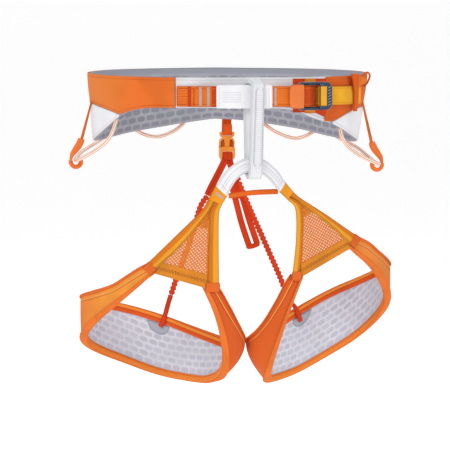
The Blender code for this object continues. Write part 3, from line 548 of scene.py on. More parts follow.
def rounded_node(name, width, surface):
    """A CAD node's own shape, welded and with its edges rounded."""
    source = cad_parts[name].data
    work = bmesh.new()
    work.from_mesh(source)
    bmesh.ops.remove_doubles(work, verts=work.verts, dist=1e-6)
    bmesh.ops.dissolve_limit(work, angle_limit=radians(4), verts=work.verts, edges=work.edges)
    soften(work, width, 28)
    data = bpy.data.meshes.new(name + "_rounded")
    work.to_mesh(data)
    work.free()
    data.materials.clear()
    data.materials.append(surface)
    for polygon in data.polygons:
        polygon.material_index = 0
    data.shade_smooth()
    data.set_sharp_from_angle(angle=radians(40))
    return placed(name + "_rounded", data)


def settle(piece, body, *nodes):
    """The piece rides on a body and stands for the given CAD nodes, hiding them."""
    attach(piece, body)
    if nodes:
        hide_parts(*nodes)
    return piece


def puff(piece, columns, pressure=4.0):
    """Cloth simulation of a padded band: its edges are held while its faces swell a little."""
    data = piece.data
    rest = [v.co.copy() for v in data.vertices]
    count = 2 * columns + 10
    held = piece.vertex_groups.new(name="held")
    rings = len(data.vertices) // count
    for ring in range(rings):
        for column in range(count):
            on_lip = columns <= column <= columns + 5 or column >= 2 * columns + 5 or column == 0
            if on_lip or ring in (0, rings - 1):
                held.add([ring * count + column], 1.0, "REPLACE")
    cloth_modifier = piece.modifiers.new("padding", "CLOTH")
    settings = cloth_modifier.settings
    settings.quality = 6
    settings.mass = 0.2
    settings.tension_stiffness = 12
    settings.compression_stiffness = 12
    settings.shear_stiffness = 6
    settings.bending_stiffness = 0.6
    settings.use_pressure = True
    settings.uniform_pressure_force = pressure
    settings.vertex_group_mass = "held"
    settings.effector_weights.gravity = 0
    cloth_modifier.point_cache.frame_start = 1
    cloth_modifier.point_cache.frame_end = SWELL_FRAMES
    scene = bpy.context.scene
    scene.frame_start, scene.frame_end = 1, SWELL_FRAMES
    for step in range(1, SWELL_FRAMES + 1):
        scene.frame_set(step)
    posed = piece.evaluated_get(bpy.context.evaluated_depsgraph_get())
    moved = [v.co.copy() for v in posed.data.vertices]
    piece.modifiers.remove(cloth_modifier)
    piece.vertex_groups.remove(held)
    scene.frame_set(1)
    for vertex, before, after in zip(data.vertices, rest, moved):
        change = after - before
        if change.length > SWELL_LIMIT:
            change = change.normalized() * SWELL_LIMIT
        vertex.co = before + change
    data.update()
    return piece


# ================================================================ waist belt
BELT_CENTRE_X, BELT_HALF_WIDTH, BELT_HALF_DEPTH = -13.0, 150.6, 105.0
LINING, SHELL, GAP = 4.0, 1.2, 0.4
WING_BACK = 128
# how far each hip is drawn in at the upper edge, and further for each millimetre below it
BELT_DRAWN_IN = {"left": (1.5, 0.07), "right": (2.5, 0.15)}
BELT_UPPER_EDGE = 24
BELT_TOP = [(0, 19.5), (30, 19.5), (60, 21.0), (90, 23.0), (130, 25.5), (180, 27.0)]
LEFT_BELT_BOTTOM = [(0, -12.5), (38, -12.0), (48, -14.5), (56, -20.0), (65, -30.7), (75, -39.5),
                    (88, -46.5), (100, -49.2), (112, -49.8), (125, -47.4), (140, -42.8), (155, -38.2),
                    (170, -32.8), (180, -29.5)]
RIGHT_BELT_BOTTOM = [(0, -12.5), (14, -13.0), (22, -15.5), (28, -21.0), (34, -25.6), (40, -28.6),
                     (52, -38.2), (62, -44.2), (75, -48.5), (95, -51.6), (110, -49.6), (125, -46.8),
                     (140, -41.0), (155, -35.6), (168, -31.2), (180, -29.5)]
LEFT_SHELL_BOTTOM = [(28, -12.5), (38, -12.0), (48, -14.5), (56, -18.9), (62, -16.0), (72, -12.2),
                     (90, -9.0), (110, -19.0), (128, -46.5)]
RIGHT_SHELL_BOTTOM = [(36, -26.4), (39, -27.2), (43, -25.2), (48, -21.2), (56, -16.1), (64, -13.6),
                      (75, -12.4), (90, -11.0), (110, -20.0), (128, -45.5)]


def belt_normal(bearing):
    t = radians(bearing)
    return Vector((sin(t) / BELT_HALF_WIDTH, -cos(t) / BELT_HALF_DEPTH, 0)).normalized()


def belt_point(bearing, outward, height):
    t = radians(bearing)
    face = Vector((BELT_CENTRE_X + BELT_HALF_WIDTH * sin(t), -BELT_HALF_DEPTH * cos(t), height))
    sign = 1 if sin(t) > 0 else -1
    at_top, slope = BELT_DRAWN_IN["right" if sign > 0 else "left"]
    face.x -= sign * (at_top + slope * (BELT_UPPER_EDGE - height)) * sin(t) ** 4
    return face + belt_normal(bearing) * outward


def fold(bearing):
    return (bearing + 180) % 360 - 180


def belt_top(bearing):
    return smooth_value(BELT_TOP, abs(fold(bearing)))


def belt_bottom(bearing):
    keys = LEFT_BELT_BOTTOM if fold(bearing) < 0 else RIGHT_BELT_BOTTOM
    return smooth_value(keys, abs(fold(bearing)))


def shell_bottom(bearing):
    if abs(fold(bearing)) >= WING_BACK:
        return belt_bottom(bearing)
    keys = LEFT_SHELL_BOTTOM if fold(bearing) < 0 else RIGHT_SHELL_BOTTOM
    return max(smooth_value(keys, abs(fold(bearing))), belt_bottom(bearing))


def belt_ribbon(start, end, top, bottom, step=2.0):
    """Ribbon on the belt's oval wall between two bearings."""
    count = max(round(abs(end - start) / step), 4)
    bearings = [start + (end - start) * i / count for i in range(count + 1)]
    return Ribbon([belt_point(b, 0, bottom(b)) for b in bearings],
                  [belt_point(b, 0, top(b)) for b in bearings],
                  [belt_normal(b) for b in bearings])


def level(height):
    return lambda bearing: height


def build_belt():
    lining_cloth = cloth("belt_lining_cloth", "A9ABB5", sheen=0.2, edge=0.15,
                         bricks=(10.4, 5.6, 12.4, 8.2, "8E909C", 9.0, 2.5),
                         stripes=[("high", 3.0, 3.6, "979AA6")])
    ring = belt_ribbon(40.2, 331.8, belt_top, belt_bottom)
    lining = ring.solid("belt_lining_padding", -LINING, 0, lining_cloth, under=0.8, columns=10, lip=1.7,
                        wave=0.5)
    settle(puff(lining, 10), "waist_belt", "belt_lining")
    tongue_cloth = cloth("belt_tongue_cloth", "E6E6EA", sheen=0.1, edge=0.1,
                         seams=[("high", 2.6, 0.3, "B4B5BC"), ("low", 2.6, 0.3, "B4B5BC")])
    front = belt_ribbon(-27.8, 39.8, belt_top, belt_bottom)
    tongue = front.solid("belt_tongue_padding", -LINING, 0, tongue_cloth, crown=0.3, under=0.6, columns=10,
                         lip=1.8,
                         wave=0.35)
    settle(puff(tongue, 10), "waist_belt", "belt_tongue")
    for side, sign, start in (("left", -1, -28), ("right", 1, 36)):
        # painted light and shade: the right shell is darker than the left, and both lighten towards the hips
        shell_cloth = cloth("belt_shell_cloth_" + side, "E4702C" if side == "left" else "DE6526", sheen=0.15,
                            edge=0.12, seams=[("high", 3.0, 0.25, "C45A22"), ("low", 2.6, 0.25, "C45A22")],
                            fades=[(30, 95, "E8813A")] if side == "left" else [(90, 190, "E8813A")])
        shell = belt_ribbon(start, sign * 179.8, belt_top, shell_bottom)
        piece = shell.solid("belt_shell_" + side + "_cover", GAP, GAP + SHELL, shell_cloth, crown=0.5,
                            columns=8,
                            wave=1.1, wave_size=46.0)
        settle(piece, "waist_belt", "belt_shell_" + side)
        hem = shell.stitches(3.0, "high", 3, None, 2.2, 1.0, GAP + SHELL + 0.1)
        hem += shell.stitches(2.6, "low", 3, None, 2.2, 1.0, GAP + SHELL + 0.1)
        settle(threads("belt_shell_" + side + "_stitching", hem, 0.22,
                       plain("belt_stitch_" + side, "D25A20", 0.7, wear=0)), "waist_belt")
        wing_cloth = cloth("hip_wing_cloth_" + side, "EFEFF3", sheen=0.1, edge=0.12,
                           seams=[("low", 2.4, 0.3, "C9CAD2")], amount=0.03)
        wing = belt_ribbon(-57 if sign < 0 else 41, sign * 124, lambda b: shell_bottom(b) - GAP,
                           lambda b: belt_bottom(b) - GAP)
        piece = wing.solid("hip_wing_" + side + "_panel", GAP, GAP + SHELL, wing_cloth, crown=0.3, columns=6,
                           wave=0.6)
        settle(piece, "waist_belt", "hip_wing_" + side)


def build_buckle_backing():
    # the patch is a real part; its darker red than the shell is painted shade at the shell's rounded front end
    patch_cloth = cloth("belt_end_patch_cloth", "D9481E", sheen=0.1, seams=[("mid", 9.0, 0.4, "A93412")])
    patch = belt_ribbon(20, 38.5, lambda b: 18.5 - 0.02 * b, lambda b: -17.0 - max(b - 30, 0) * 0.9, 1.5)
    settle(patch.solid("belt_end_patch_panel", 0.1, GAP + 0.9, patch_cloth, crown=0.3), "waist_belt",
           "belt_end_patch")
    strap_cloth = cloth("buckle_anchor_cloth", "EE8E2E", rib=2.2)
    strap = belt_ribbon(25, 30, level(18.0), level(-18.0), 1.0)
    settle(strap.solid("buckle_anchor_strap_webbing", 2 * GAP + SHELL, 2 * GAP + 2 * SHELL, strap_cloth),
           "waist_belt", "buckle_anchor_strap")


# ================================================================ waist webbing and buckle
BUCKLE_CENTRE, BUCKLE_TURN = (60.0, -102.5), 22.0
WEBBING_HALF, TAIL_HALF = 10.6, 9.6
WEBBING_PATH = [(-82, -95.6), (-66, -103.4), (-46, -112.0), (-24, -117.4), (-4, -118.5), (14, -117.8),
                (30, -115.8), (42.5, -113.2)]
TACK = plain("tack_thread", "B9B9BC", 0.55, wear=0, grain=0.02)
GREY_THREAD = plain("grey_thread", "BFC0C8", **THREAD_FINISH)
RED_THREAD = plain("red_thread", "B8401A", **THREAD_FINISH)
LIGHT_THREAD = plain("light_thread", "F7C79A", **THREAD_FINISH)
GOLD_THREAD = plain("gold_thread", "A9661A", **THREAD_FINISH)


def buckle_point(s, out, height=0.0):
    turn = radians(BUCKLE_TURN)
    return Vector((BUCKLE_CENTRE[0] + s * cos(turn) + out * sin(turn),
                   BUCKLE_CENTRE[1] + s * sin(turn) - out * cos(turn), height))


def along_x(ribbon, x):
    """Distance along a ribbon where its middle line passes a given x."""
    for index in range(len(ribbon.mid) - 1):
        one, two = ribbon.mid[index].x, ribbon.mid[index + 1].x
        if one <= x <= two:
            return ribbon.run[index] + (ribbon.run[index + 1] - ribbon.run[index]) * (x - one) / (two - one)
    return 0.0


def build_webbing():
    over = [buckle_point(-14, 2.9)[:2], buckle_point(-8, 2.6)[:2], buckle_point(-3.5, -1.2)[:2],
            buckle_point(0, -3.6)[:2], buckle_point(3.6, -4.2)[:2]]
    web = wall_ribbon(WEBBING_PATH + over, -WEBBING_HALF, WEBBING_HALF, 120)
    # painted shade: darker where the webbing passes under the cap into the buckle, and the first zone is painted
    # shadow where it comes out from under the shell; the other two zones are darker red bands
    web_cloth = cloth("waist_webbing_cloth", "E8762A", rib=2.65, sheen=0.08, amount=0.05,
                      stripes=[("mid", 8.2, 0.5, "C9571B"), ("mid", -8.2, 0.5, "C9571B")],
                      fades=[(along_x(web, 44.5), along_x(web, 46.5), "CC4E1C")],
                      zones=[(along_x(web, -86.0), along_x(web, -81.5), "C4381C"),
                             (along_x(web, -71.5), along_x(web, -68.0), "C4381C"),
                             (along_x(web, -48.5), along_x(web, -43.5), "BE3418")])
    settle(web.solid("waist_webbing_strap", -1.1, 1.1, web_cloth, crown=0.2, columns=8), "waist_belt",
           "waist_webbing")
    box = []
    left, right = along_x(web, -84.0), along_x(web, -68.5)
    for v in (-8.4, -5.6, -2.8, 0.0, 2.8, 5.6, 8.4):
        box += web.stitches(v, None, left, right, 1.9, 0.6, 1.35)
    for u in (left, right):
        box += web.upright(u, -8.4, 8, 1.8, 2.4, 1.4)
    box += web.tack(along_x(web, -65.5), 1.6, -9.4, 8.6, 1.0, 1.4)
    settle(threads("waist_webbing_box_stitch", box, 0.34, RED_THREAD), "waist_belt")
    bars = []
    for x in (-59.0, -51.4):
        bars += web.tack(along_x(web, x), 3.4, -9.4, 8.8, 0.9, 1.45)
    bars += web.tack(along_x(web, 16.4), 3.0, -9.2, 8.6, 0.9, 1.45)
    settle(threads("waist_webbing_bar_tacks", bars, 0.42, TACK), "waist_belt")
    # tie-in sheath: a soft rounded sleeve round the webbing
    path = smooth_path([(-43.5, -112.85, 0), (-24, -117.4, 0), (-4, -118.5, 0), (13, -117.9, 0)], 40)
    outline = []
    for k in range(32):
        turn = 2 * pi * k / 32
        outline.append((2.9 * (abs(cos(turn)) ** 0.55) * (1 if cos(turn) > 0 else -1),
                        12.2 * (abs(sin(turn)) ** 0.42) * (1 if sin(turn) > 0 else -1)))
    frames = [(p, Vector((w.y, -w.x, 0)), Vector((0, 0, 1))) for p, w in zip(path, directions(path))]

    def swell(index):
        gone = min(index, len(frames) - 1 - index) / 3
        return 0.93 + 0.07 * min(gone, 1) + 0.012 * sin(index * 0.9)

    sheath_cloth = cloth("tie_in_sheath_cloth", "F2F2F5", sheen=0.15, edge=0, amount=0.03, pitch=1.5)
    settle(rail("tie_in_sheath_sleeve", frames, outline, sheath_cloth, scale=swell), "waist_belt",
           "tie_in_sheath")
    face = wall_ribbon([(-43.5, -112.85), (-24, -117.4), (-4, -118.5), (13, -117.9)], -12, 12, 40)
    rows = []
    for v in (-5.4, -3.0, -0.6, 1.8, 4.2):
        rows += face.stitches(v, None, 6.5, 27.0, 2.0, 0.7, 2.95)
    for u in (3.4, face.length - 3.4):
        rows += face.upright(u, -10, 9, 1.8, 2.5, 2.85)
    settle(threads("tie_in_sheath_stitching", rows, 0.3, GREY_THREAD), "waist_belt")
    cap = wall_ribbon([(31.5, -119.4), buckle_point(-22, 6.1)[:2], buckle_point(-16.5, 5.9)[:2]], -12.6, 12.2,
                      26)
    cap_cloth = cloth("webbing_cap_cloth", "EE7B32", sheen=0.05, roughness=0.6, amount=0.04, pitch=1.0)
    settle(cap.solid("webbing_cap_fold", -0.7, 0.7, cap_cloth, crown=0.5, round_start=4.5, columns=10),
           "waist_belt",
           "webbing_cap")


def rounded_ring(half_length, half_height, radius, centre=0.0, per_corner=7):
    """Points round a rounded rectangle in the buckle's plane."""
    made = []
    for corner in range(4):
        turn0 = corner * pi / 2
        sx = 1 if corner in (0, 3) else -1
        sz = 1 if corner in (0, 1) else -1
        for k in range(per_corner + 1):
            turn = turn0 + pi / 2 * k / per_corner
            made.append((centre + sx * (half_length - radius) + radius * cos(turn),
                         sz * (half_height - radius) + radius * sin(turn)))
        a = made[-1]
        next_corner = {0: (-1, 1), 1: (-1, -1), 2: (1, -1), 3: (1, 1)}[corner]
        first_turn = turn0 + pi / 2
        b = (centre + next_corner[0] * (half_length - radius) + radius * cos(first_turn),
             next_corner[1] * (half_height - radius) + radius * sin(first_turn))
        for share in (0.33, 0.67):
            made.append((a[0] + (b[0] - a[0]) * share, a[1] + (b[1] - a[1]) * share))
    return made


def build_buckle():
    metal = plain("buckle_frame_metal", "2A4058", 0.4, 0.55, coat=0.15, grain=0.04, wear=0.5)
    outer = rounded_ring(22.0, 14.6, 7.0)
    inner = rounded_ring(15.85, 11.2, 4.2, -1.65)
    ring = Ribbon([buckle_point(s, 0, z) for s, z in inner], [buckle_point(s, 0, z) for s, z in outer],
                  [buckle_point(0, 1) - buckle_point(0, 0)] * len(outer), closed=True)
    settle(ring.solid("buckle_frame_ring", -1.6, 1.6, metal, columns=4, lip=1.2, crown=0.25, under=0.2),
           "waist_belt",
           "buckle_frame")
    bar_metal = plain("buckle_slider_metal", "2A4058", 0.4, 0.55, coat=0.15, grain=0.04, wear=0.5)
    settle(rounded_node("buckle_slider", 0.8, bar_metal), "waist_buckle_slider", "buckle_slider")
    grooves = []
    for z in (-9, -6, -3, 0, 3, 6, 9):
        grooves.append((buckle_point(16.2, 1.75, z - 0.9), buckle_point(20.0, 1.75, z + 0.9)))
    settle(threads("buckle_frame_grip", grooves, 0.35, metal), "waist_belt")
    turned = [(5.2, 5.2), (9.0, 5.2), (12.0, 4.9), (12.9, 3.05), (12.0, 1.2), (9.0, 0.9), (5.2, 0.9)]
    turn_cloth = cloth("buckle_webbing_turn_cloth", "F4B02C", rib=2.4, sheen=0.08)
    web = wall_ribbon([buckle_point(s, out)[:2] for s, out in turned], -10.2, 10.2, 40)
    settle(web.solid("buckle_webbing_turn_fold", -0.55, 0.55, turn_cloth, columns=8), "waist_buckle_slider",
           "buckle_webbing_turn")


KEEPER_TOP, KEEPER_TALL, KEEPER_BEND = 22.5, 39.5, 3.6


def build_tail():
    points = [buckle_point(4.6, -4.2)[:2], buckle_point(13, -4.2)[:2], buckle_point(20, -4.2)[:2],
              buckle_point(25, -4.0)[:2], (92.5, -84.0), belt_point(50, 4.6, 0)[:2],
              belt_point(56, 3.8, 0)[:2],
              belt_point(62, 3.6, 0)[:2]]
    # painted shade: the first few millimetres, under the buckle, are darkened
    tail_cloth = cloth("webbing_tail_cloth", "F4B02C", rib=2.4, sheen=0.08,
                       stripes=[("high", 2.2, 0.5, "E29222"), ("low", 2.2, 0.5, "E29222")],
                       zones=[(-3.0, 9.0, "B4601A")])
    tail = wall_ribbon(points, -TAIL_HALF, TAIL_HALF, 60)
    settle(tail.solid("webbing_tail_strap", -0.9, 0.9, tail_cloth, columns=8, crown=0.2), "waist_belt",
           "webbing_tail")
    keeper_cloth = cloth("keeper_band_cloth", "E8641F", rib=1.6, sheen=0.05, pitch=1.0)
    rows = 16
    lows, highs, normals = [], [], []
    for step in range(rows + 1):
        height = KEEPER_TOP - KEEPER_TALL * step / rows
        bend = KEEPER_BEND * sin(pi * 0.62 * step / rows)
        for edge, width in ((lows, 0.0), (highs, 3.4 + 2.2 * (1 - step / rows) ** 2)):
            edge.append(belt_point(49.4 + bend + width, 7.4, height))
        normals.append(belt_normal(51 + bend))
    keeper = Ribbon(lows, highs, normals)
    settle(keeper.solid("keeper_band_elastic", -0.6, 0.7, keeper_cloth, crown=0.6, columns=8, lip=0.5),
           "waist_belt",
           "keeper_band")
    flap_cloth = cloth("keeper_flap_cloth", "EC7C2A", sheen=0.05, edge=0.3)
    flap = belt_ribbon(54.5, 66, lambda b: 21.5 - 0.2 * (b - 54), lambda b: 8.0 + 0.3 * (b - 54), 1.0)
    settle(flap.solid("keeper_flap_fold", 3.4, 6.4, flap_cloth, crown=0.8, columns=8), "waist_belt")
    loop = [belt_point(60, 5.0, 20), belt_point(63, 8.6, 23.5), belt_point(67, 8.8, 20),
            belt_point(68, 6.5, 13),
            belt_point(66, 4.5, 9)]
    settle(tube("keeper_side_loop", loop, 1.0, keeper_cloth, 30), "waist_belt")


# ================================================================ belay loop and bridge
BELAY_AXIS, BELAY_HALF_GAP = (-6.0, -118.5), 9.0
BELAY_TOP, BELAY_BOTTOM, BELAY_CROWN = 15.6, -82.9, 5.6


def belay_place(across, depth, height):
    share = (height - BELAY_BOTTOM) / (BELAY_TOP - BELAY_BOTTOM)
    turn = radians(4.0 + 16.0 * min(max(share, 0), 1))
    return Vector((BELAY_AXIS[0] + across * cos(turn) - depth * sin(turn),
                   BELAY_AXIS[1] + across * sin(turn) + depth * cos(turn), height))


def belay_outline(offset, count=24):
    radius = BELAY_HALF_GAP
    low, high = BELAY_BOTTOM + radius, BELAY_TOP - BELAY_CROWN
    made = []
    for step in range(count):
        made.append((radius + offset, low + (high - low) * step / count))
    for step in range(count // 2):
        turn = pi * step / (count // 2)
        made.append(((radius + offset) * cos(turn), high + (BELAY_CROWN + offset) * sin(turn)))
    for step in range(count):
        made.append((-radius - offset, high - (high - low) * step / count))
    for step in range(count // 2):
        turn = pi + pi * step / (count // 2)
        made.append(((radius + offset) * cos(turn), low + (radius + offset) * sin(turn)))
    return made


def build_belay_loop():
    middle, outer = belay_outline(0), belay_outline(1)
    width = 7.25
    lows = [belay_place(-width, d, h) for d, h in middle]
    highs = [belay_place(width, d, h) for d, h in middle]
    normals = [(belay_place(0, d2, h2) - belay_place(0, d, h)).normalized()
               for (d, h), (d2, h2) in zip(middle, outer)]
    band = Ribbon(lows, highs, normals, closed=True)
    loop_cloth = cloth("belay_loop_cloth", "EDEEF1", rib=2.4, sheen=0.12, amount=0.04, edge=0.2,
                       seams=[("high", 1.5, 0.25, "C6C7CE"), ("low", 1.5, 0.25, "C6C7CE")])
    settle(band.solid("belay_loop_webbing", -1.8, 1.8, loop_cloth, crown=0.25, columns=8, lip=1.0),
           "belay_loop",
           "belay_loop")
    lows, highs = [], []
    for step in range(30):
        height = BELAY_TOP - BELAY_CROWN - 1 - 80 * step / 29
        lows.append(belay_place(-3.5, -BELAY_HALF_GAP - 1.8, height))
        highs.append(belay_place(5.5, -BELAY_HALF_GAP - 1.8, height))
    strip = Ribbon(lows, highs, hint=(0, -1, 0))
    strip_cloth = cloth("belay_loop_overlap_cloth", "F3F3F6", rib=1.8, sheen=0.1, amount=0.03, edge=0.3)
    settle(strip.solid("belay_loop_overlap_strip", GAP - 0.4, GAP + 0.8, strip_cloth, crown=0.3, lip=0.4,
                       round_end=2.0, round_start=2.0), "belay_loop", "belay_loop_overlap")
    ladder, u = [], 2.0
    while u < strip.length - 1.5:
        ladder.append((strip.at(u, -3.3, 1.3), strip.at(u, 3.3, 1.3)))
        u += 1.9
    for v in (-3.7, 3.7):
        ladder += strip.stitches(v, None, 1, None, 1.6, 0.5, 1.25)
    settle(threads("belay_loop_ladder_stitch", ladder, 0.3, GREY_THREAD), "belay_loop")


BRIDGE_OUTER = [(-42.9, -104, -92.2), (-34.3, -109, -77.5), (-24.7, -114, -68.7), (-13, -117.6, -62.8),
                (2.7, -117.6, -63.8), (15.2, -113, -72), (23.2, -108.5, -80), (29.4, -104, -89.2)]
BRIDGE_INNER = [(-31.4, -104, -102.7), (-23.8, -109, -88), (-16.8, -114, -80.5), (-9.5, -117.6, -77.8),
                (1.0, -117.6, -78.6), (10.2, -113, -84.8), (16.8, -108.5, -91.5), (23.1, -104, -99)]


def build_bridge():
    arch = Ribbon(smooth_path(BRIDGE_INNER, 70), smooth_path(BRIDGE_OUTER, 70))
    arch_cloth = cloth("leg_bridge_cloth", "F3F3F6", sheen=0.12, amount=0.03, edge=0.25, pitch=1.4,
                       seams=[("high", 1.8, 0.3, "C2C4CC"), ("low", 1.8, 0.3, "C2C4CC"),
                              ("mid", 1.4, 0.3, "C9CAD2")])
    settle(arch.solid("leg_bridge_webbing", -1.1, 1.1, arch_cloth, crown=0.5, columns=10, wave=0.35,
                      wave_size=18.0), "waist_belt", "leg_bridge")
    rows = []
    for v, edge in ((1.8, "high"), (1.8, "low"), (1.3, None), (-1.3, None)):
        out = 1.55 if edge is None else 1.25
        rows += arch.stitches(v, edge, 2, None, 2.0, 1.0, out)
    rows += [(arch.at(u, -4.5, 1.4), arch.at(u, 4.5, 1.4)) for u in (5.0, arch.length - 5.0)]
    settle(threads("leg_bridge_stitching", rows, 0.26, GREY_THREAD), "waist_belt")
    cross_cloth = cloth("bridge_cross_strap_cloth", "EC6C24", rib=1.5, pitch=1.0, sheen=0.05)
    cross = strap_ribbon([(-29.2, -101.6, -102.8), (-4, -101.2, -99.6), (22.4, -101.6, -98.6)], 5.4, 40,
                         (0, 0, 1))
    settle(cross.solid("bridge_cross_strap_elastic", -0.6, 0.6, cross_cloth, crown=0.3, wave=0.2,
                       wave_size=9.0),
           "waist_belt", "bridge_cross_strap")


# ================================================================ leg loops
LEG_CENTRE_X, LEG_LONG, LEG_SHORT, LEG_TURN = 85.0, 98.0, 66.0, -45.0
LEG_SHELL, LEG_LINING = 1.3, 4.0
LEG_WALL = LEG_SHELL + GAP + LEG_LINING
LEG_UPPER_ENDS = {"left": (22.0, 330.0), "right": (25.0, 330.5)}
LEG_LOWER_ENDS = {"left": (15.0, 337.5), "right": (18.5, 338.0)}
LEG_UPPER = {
    "left": [(15, -173.5), (22, -176.5), (30, -181), (45, -191), (60, -200), (90, -210), (120, -219),
             (150, -229),
             (180, -241), (210, -252), (240, -260), (270, -265), (290, -262), (305, -251), (314, -237),
             (322, -218),
             (330, -198.4), (338, -197)],
    "right": [(18, -147.5), (25, -149.5), (45, -158), (60, -167), (90, -181), (120, -192), (150, -212),
              (180, -233), (210, -248), (240, -257), (270, -262), (290, -259), (305, -249), (314, -235),
              (322, -214),
              (330.5, -188), (338, -186)],
}
LEG_LOWER = {
    "left": [(15, -185), (22, -190.5), (30, -198), (45, -210), (60, -221), (90, -243), (120, -267),
             (150, -289),
             (180, -306), (210, -312), (240, -312), (270, -307), (290, -301), (305, -289), (318, -260),
             (328, -228), (337.5, -199.5)],
    "right": [(18.5, -160.5), (30, -169), (45, -178), (60, -188), (90, -212), (120, -242), (150, -280),
              (180, -304), (210, -313), (240, -313), (270, -308), (290, -301), (305, -292), (318, -265),
              (328, -229), (338, -189.5)],
}


class LegWall:
    """Wall of one leg loop: bearings run from the front over the outer side to the crotch."""

    def __init__(self, side):
        self.side, self.sign = side, -1 if side == "left" else 1

    def top(self, bearing):
        return smooth_value(LEG_UPPER[self.side], bearing)

    def bottom(self, bearing):
        return smooth_value(LEG_LOWER[self.side], bearing)

    def normal(self, bearing):
        t = radians(bearing)
        return Vector((self.sign * sin(t), -cos(t), 0))

    def lean(self, bearing):
        """How far the lower edge is drawn in towards the thigh near the crotch."""
        reach = min(abs(bearing - 292.0) / (48.0 if bearing > 292.0 else 82.0), 1)
        return 11.0 * (1 + cos(pi * reach))

    def point(self, bearing, outward, height):
        turn = radians(bearing - LEG_TURN)
        radius = LEG_LONG * LEG_SHORT / sqrt((LEG_SHORT * cos(turn)) ** 2 + (LEG_LONG * sin(turn)) ** 2)
        top, bottom = self.top(bearing), self.bottom(bearing)
        share = min(max((top - height) / (top - bottom), 0), 1)
        drawn_in = share / 2 if share < 0.5 else share * 1.5 - 0.5
        reach = radius + outward - self.lean(bearing) * drawn_in
        t = radians(bearing)
        return Vector((self.sign * (LEG_CENTRE_X + reach * sin(t)), -reach * cos(t), height))

    def ribbon(self, offset=0.0, count=156):
        upper, lower = LEG_UPPER_ENDS[self.side], LEG_LOWER_ENDS[self.side]
        lows, highs, normals, bows = [], [], [], []
        for index in range(count + 1):
            share = index / count
            a = upper[0] + (upper[1] - upper[0]) * share
            b = lower[0] + (lower[1] - lower[0]) * share
            highs.append(self.point(a, offset, self.top(a)))
            lows.append(self.point(b, offset, self.bottom(b)))
            normals.append(self.normal((a + b) / 2))
            bows.append(self.lean((a + b) / 2) / 4)
        band = Ribbon(lows, highs, normals)
        band.bow = bows
        return band

    def edge_frames(self, up, first=0, last=53, spans=52, fine=3):
        """Frames along one edge: origin on the wall, outward and upward directions."""
        ends = LEG_UPPER_ENDS[self.side] if up > 0 else LEG_LOWER_ENDS[self.side]
        frames = []
        for index in range(first * fine, (last - 1) * fine + 1):
            bearing = ends[0] + (ends[1] - ends[0]) * index / (spans * fine)
            height = self.top(bearing) if up > 0 else self.bottom(bearing)
            frames.append((self.point(bearing, 0, height), self.normal(bearing), Vector((0, 0, up))))
        return frames


def binding_outline(outer_reach, inner_reach):
    """Folded tape: x is outward, y is past the edge; thickness 1, rounded over the roof."""
    room, thick = 0.6, 1.0
    left, right = -LEG_WALL - room - 0.2 - thick, room + thick
    inner_left, inner_right = -LEG_WALL - room - 0.2, room
    middle, reach = (left + right) / 2, (right - left) / 2
    outline = [(right - 0.3, -outer_reach), (right, -outer_reach + 0.4), (right + 0.15, -outer_reach / 2)]
    for k in range(9):
        turn = pi * k / 8
        outline.append((middle + reach * cos(turn), room - 1.2 + 2.2 * sin(turn) ** 0.8))
    outline += [(left - 0.3, -inner_reach * 0.45), (left, -inner_reach * 0.5),
                (left - 0.3, -inner_reach * 0.6),
                (left, -inner_reach + 0.4), (left + 0.3, -inner_reach), (inner_left - 0.3, -inner_reach),
                (inner_left, -inner_reach + 0.4)]
    for k in range(9):
        turn = pi - pi * k / 8
        outline.append(((inner_left + inner_right) / 2 + (inner_right - inner_left) / 2 * cos(turn),
                        room - 1.2 + 1.2 * sin(turn) ** 0.8))
    outline += [(inner_right, -outer_reach + 0.4), (inner_right + 0.3, -outer_reach)]
    return outline


def binding_cloth(name, outside, upper, lower, split, groove):
    """Binding tape: the shell's colour outside and over the edge, two stripes on the inner flange."""
    shade = Shade(name, 0.88)
    along, across = shade.pair("flat")
    base = shade.mix(shade.soft(across, 11.2, 11.8), tint(shade, rgb(outside), 0.06), rgb(upper))
    base = shade.mix(shade.soft(across, split - 0.3, split + 0.3), base, tint(shade, rgb(lower), 0.06))
    # painted shade: the fold and the line between the stripes are darkened as grooves
    mark = shade.math("MAXIMUM", shade.line(across, split, 0.4), shade.line(across, 11.4, 0.3))
    base = shade.mix(shade.times(mark, 0.7), base, rgb(groove))
    rib = shade.math("SINE", shade.times(along, 2 * pi / 1.3))
    dash = shade.math("LESS_THAN", shade.math("FRACT", shade.math("DIVIDE", along, 3.2)), 0.6)
    stitch = shade.times(dash, shade.line(across, split + 1.9, 0.3))
    base = shade.mix(shade.times(stitch, 0.5), base, rgb(groove))
    height = shade.minus(shade.times(rib, 0.5), shade.times(mark, 2))
    return shade.finish(base, height, 0.4, 0.0002)


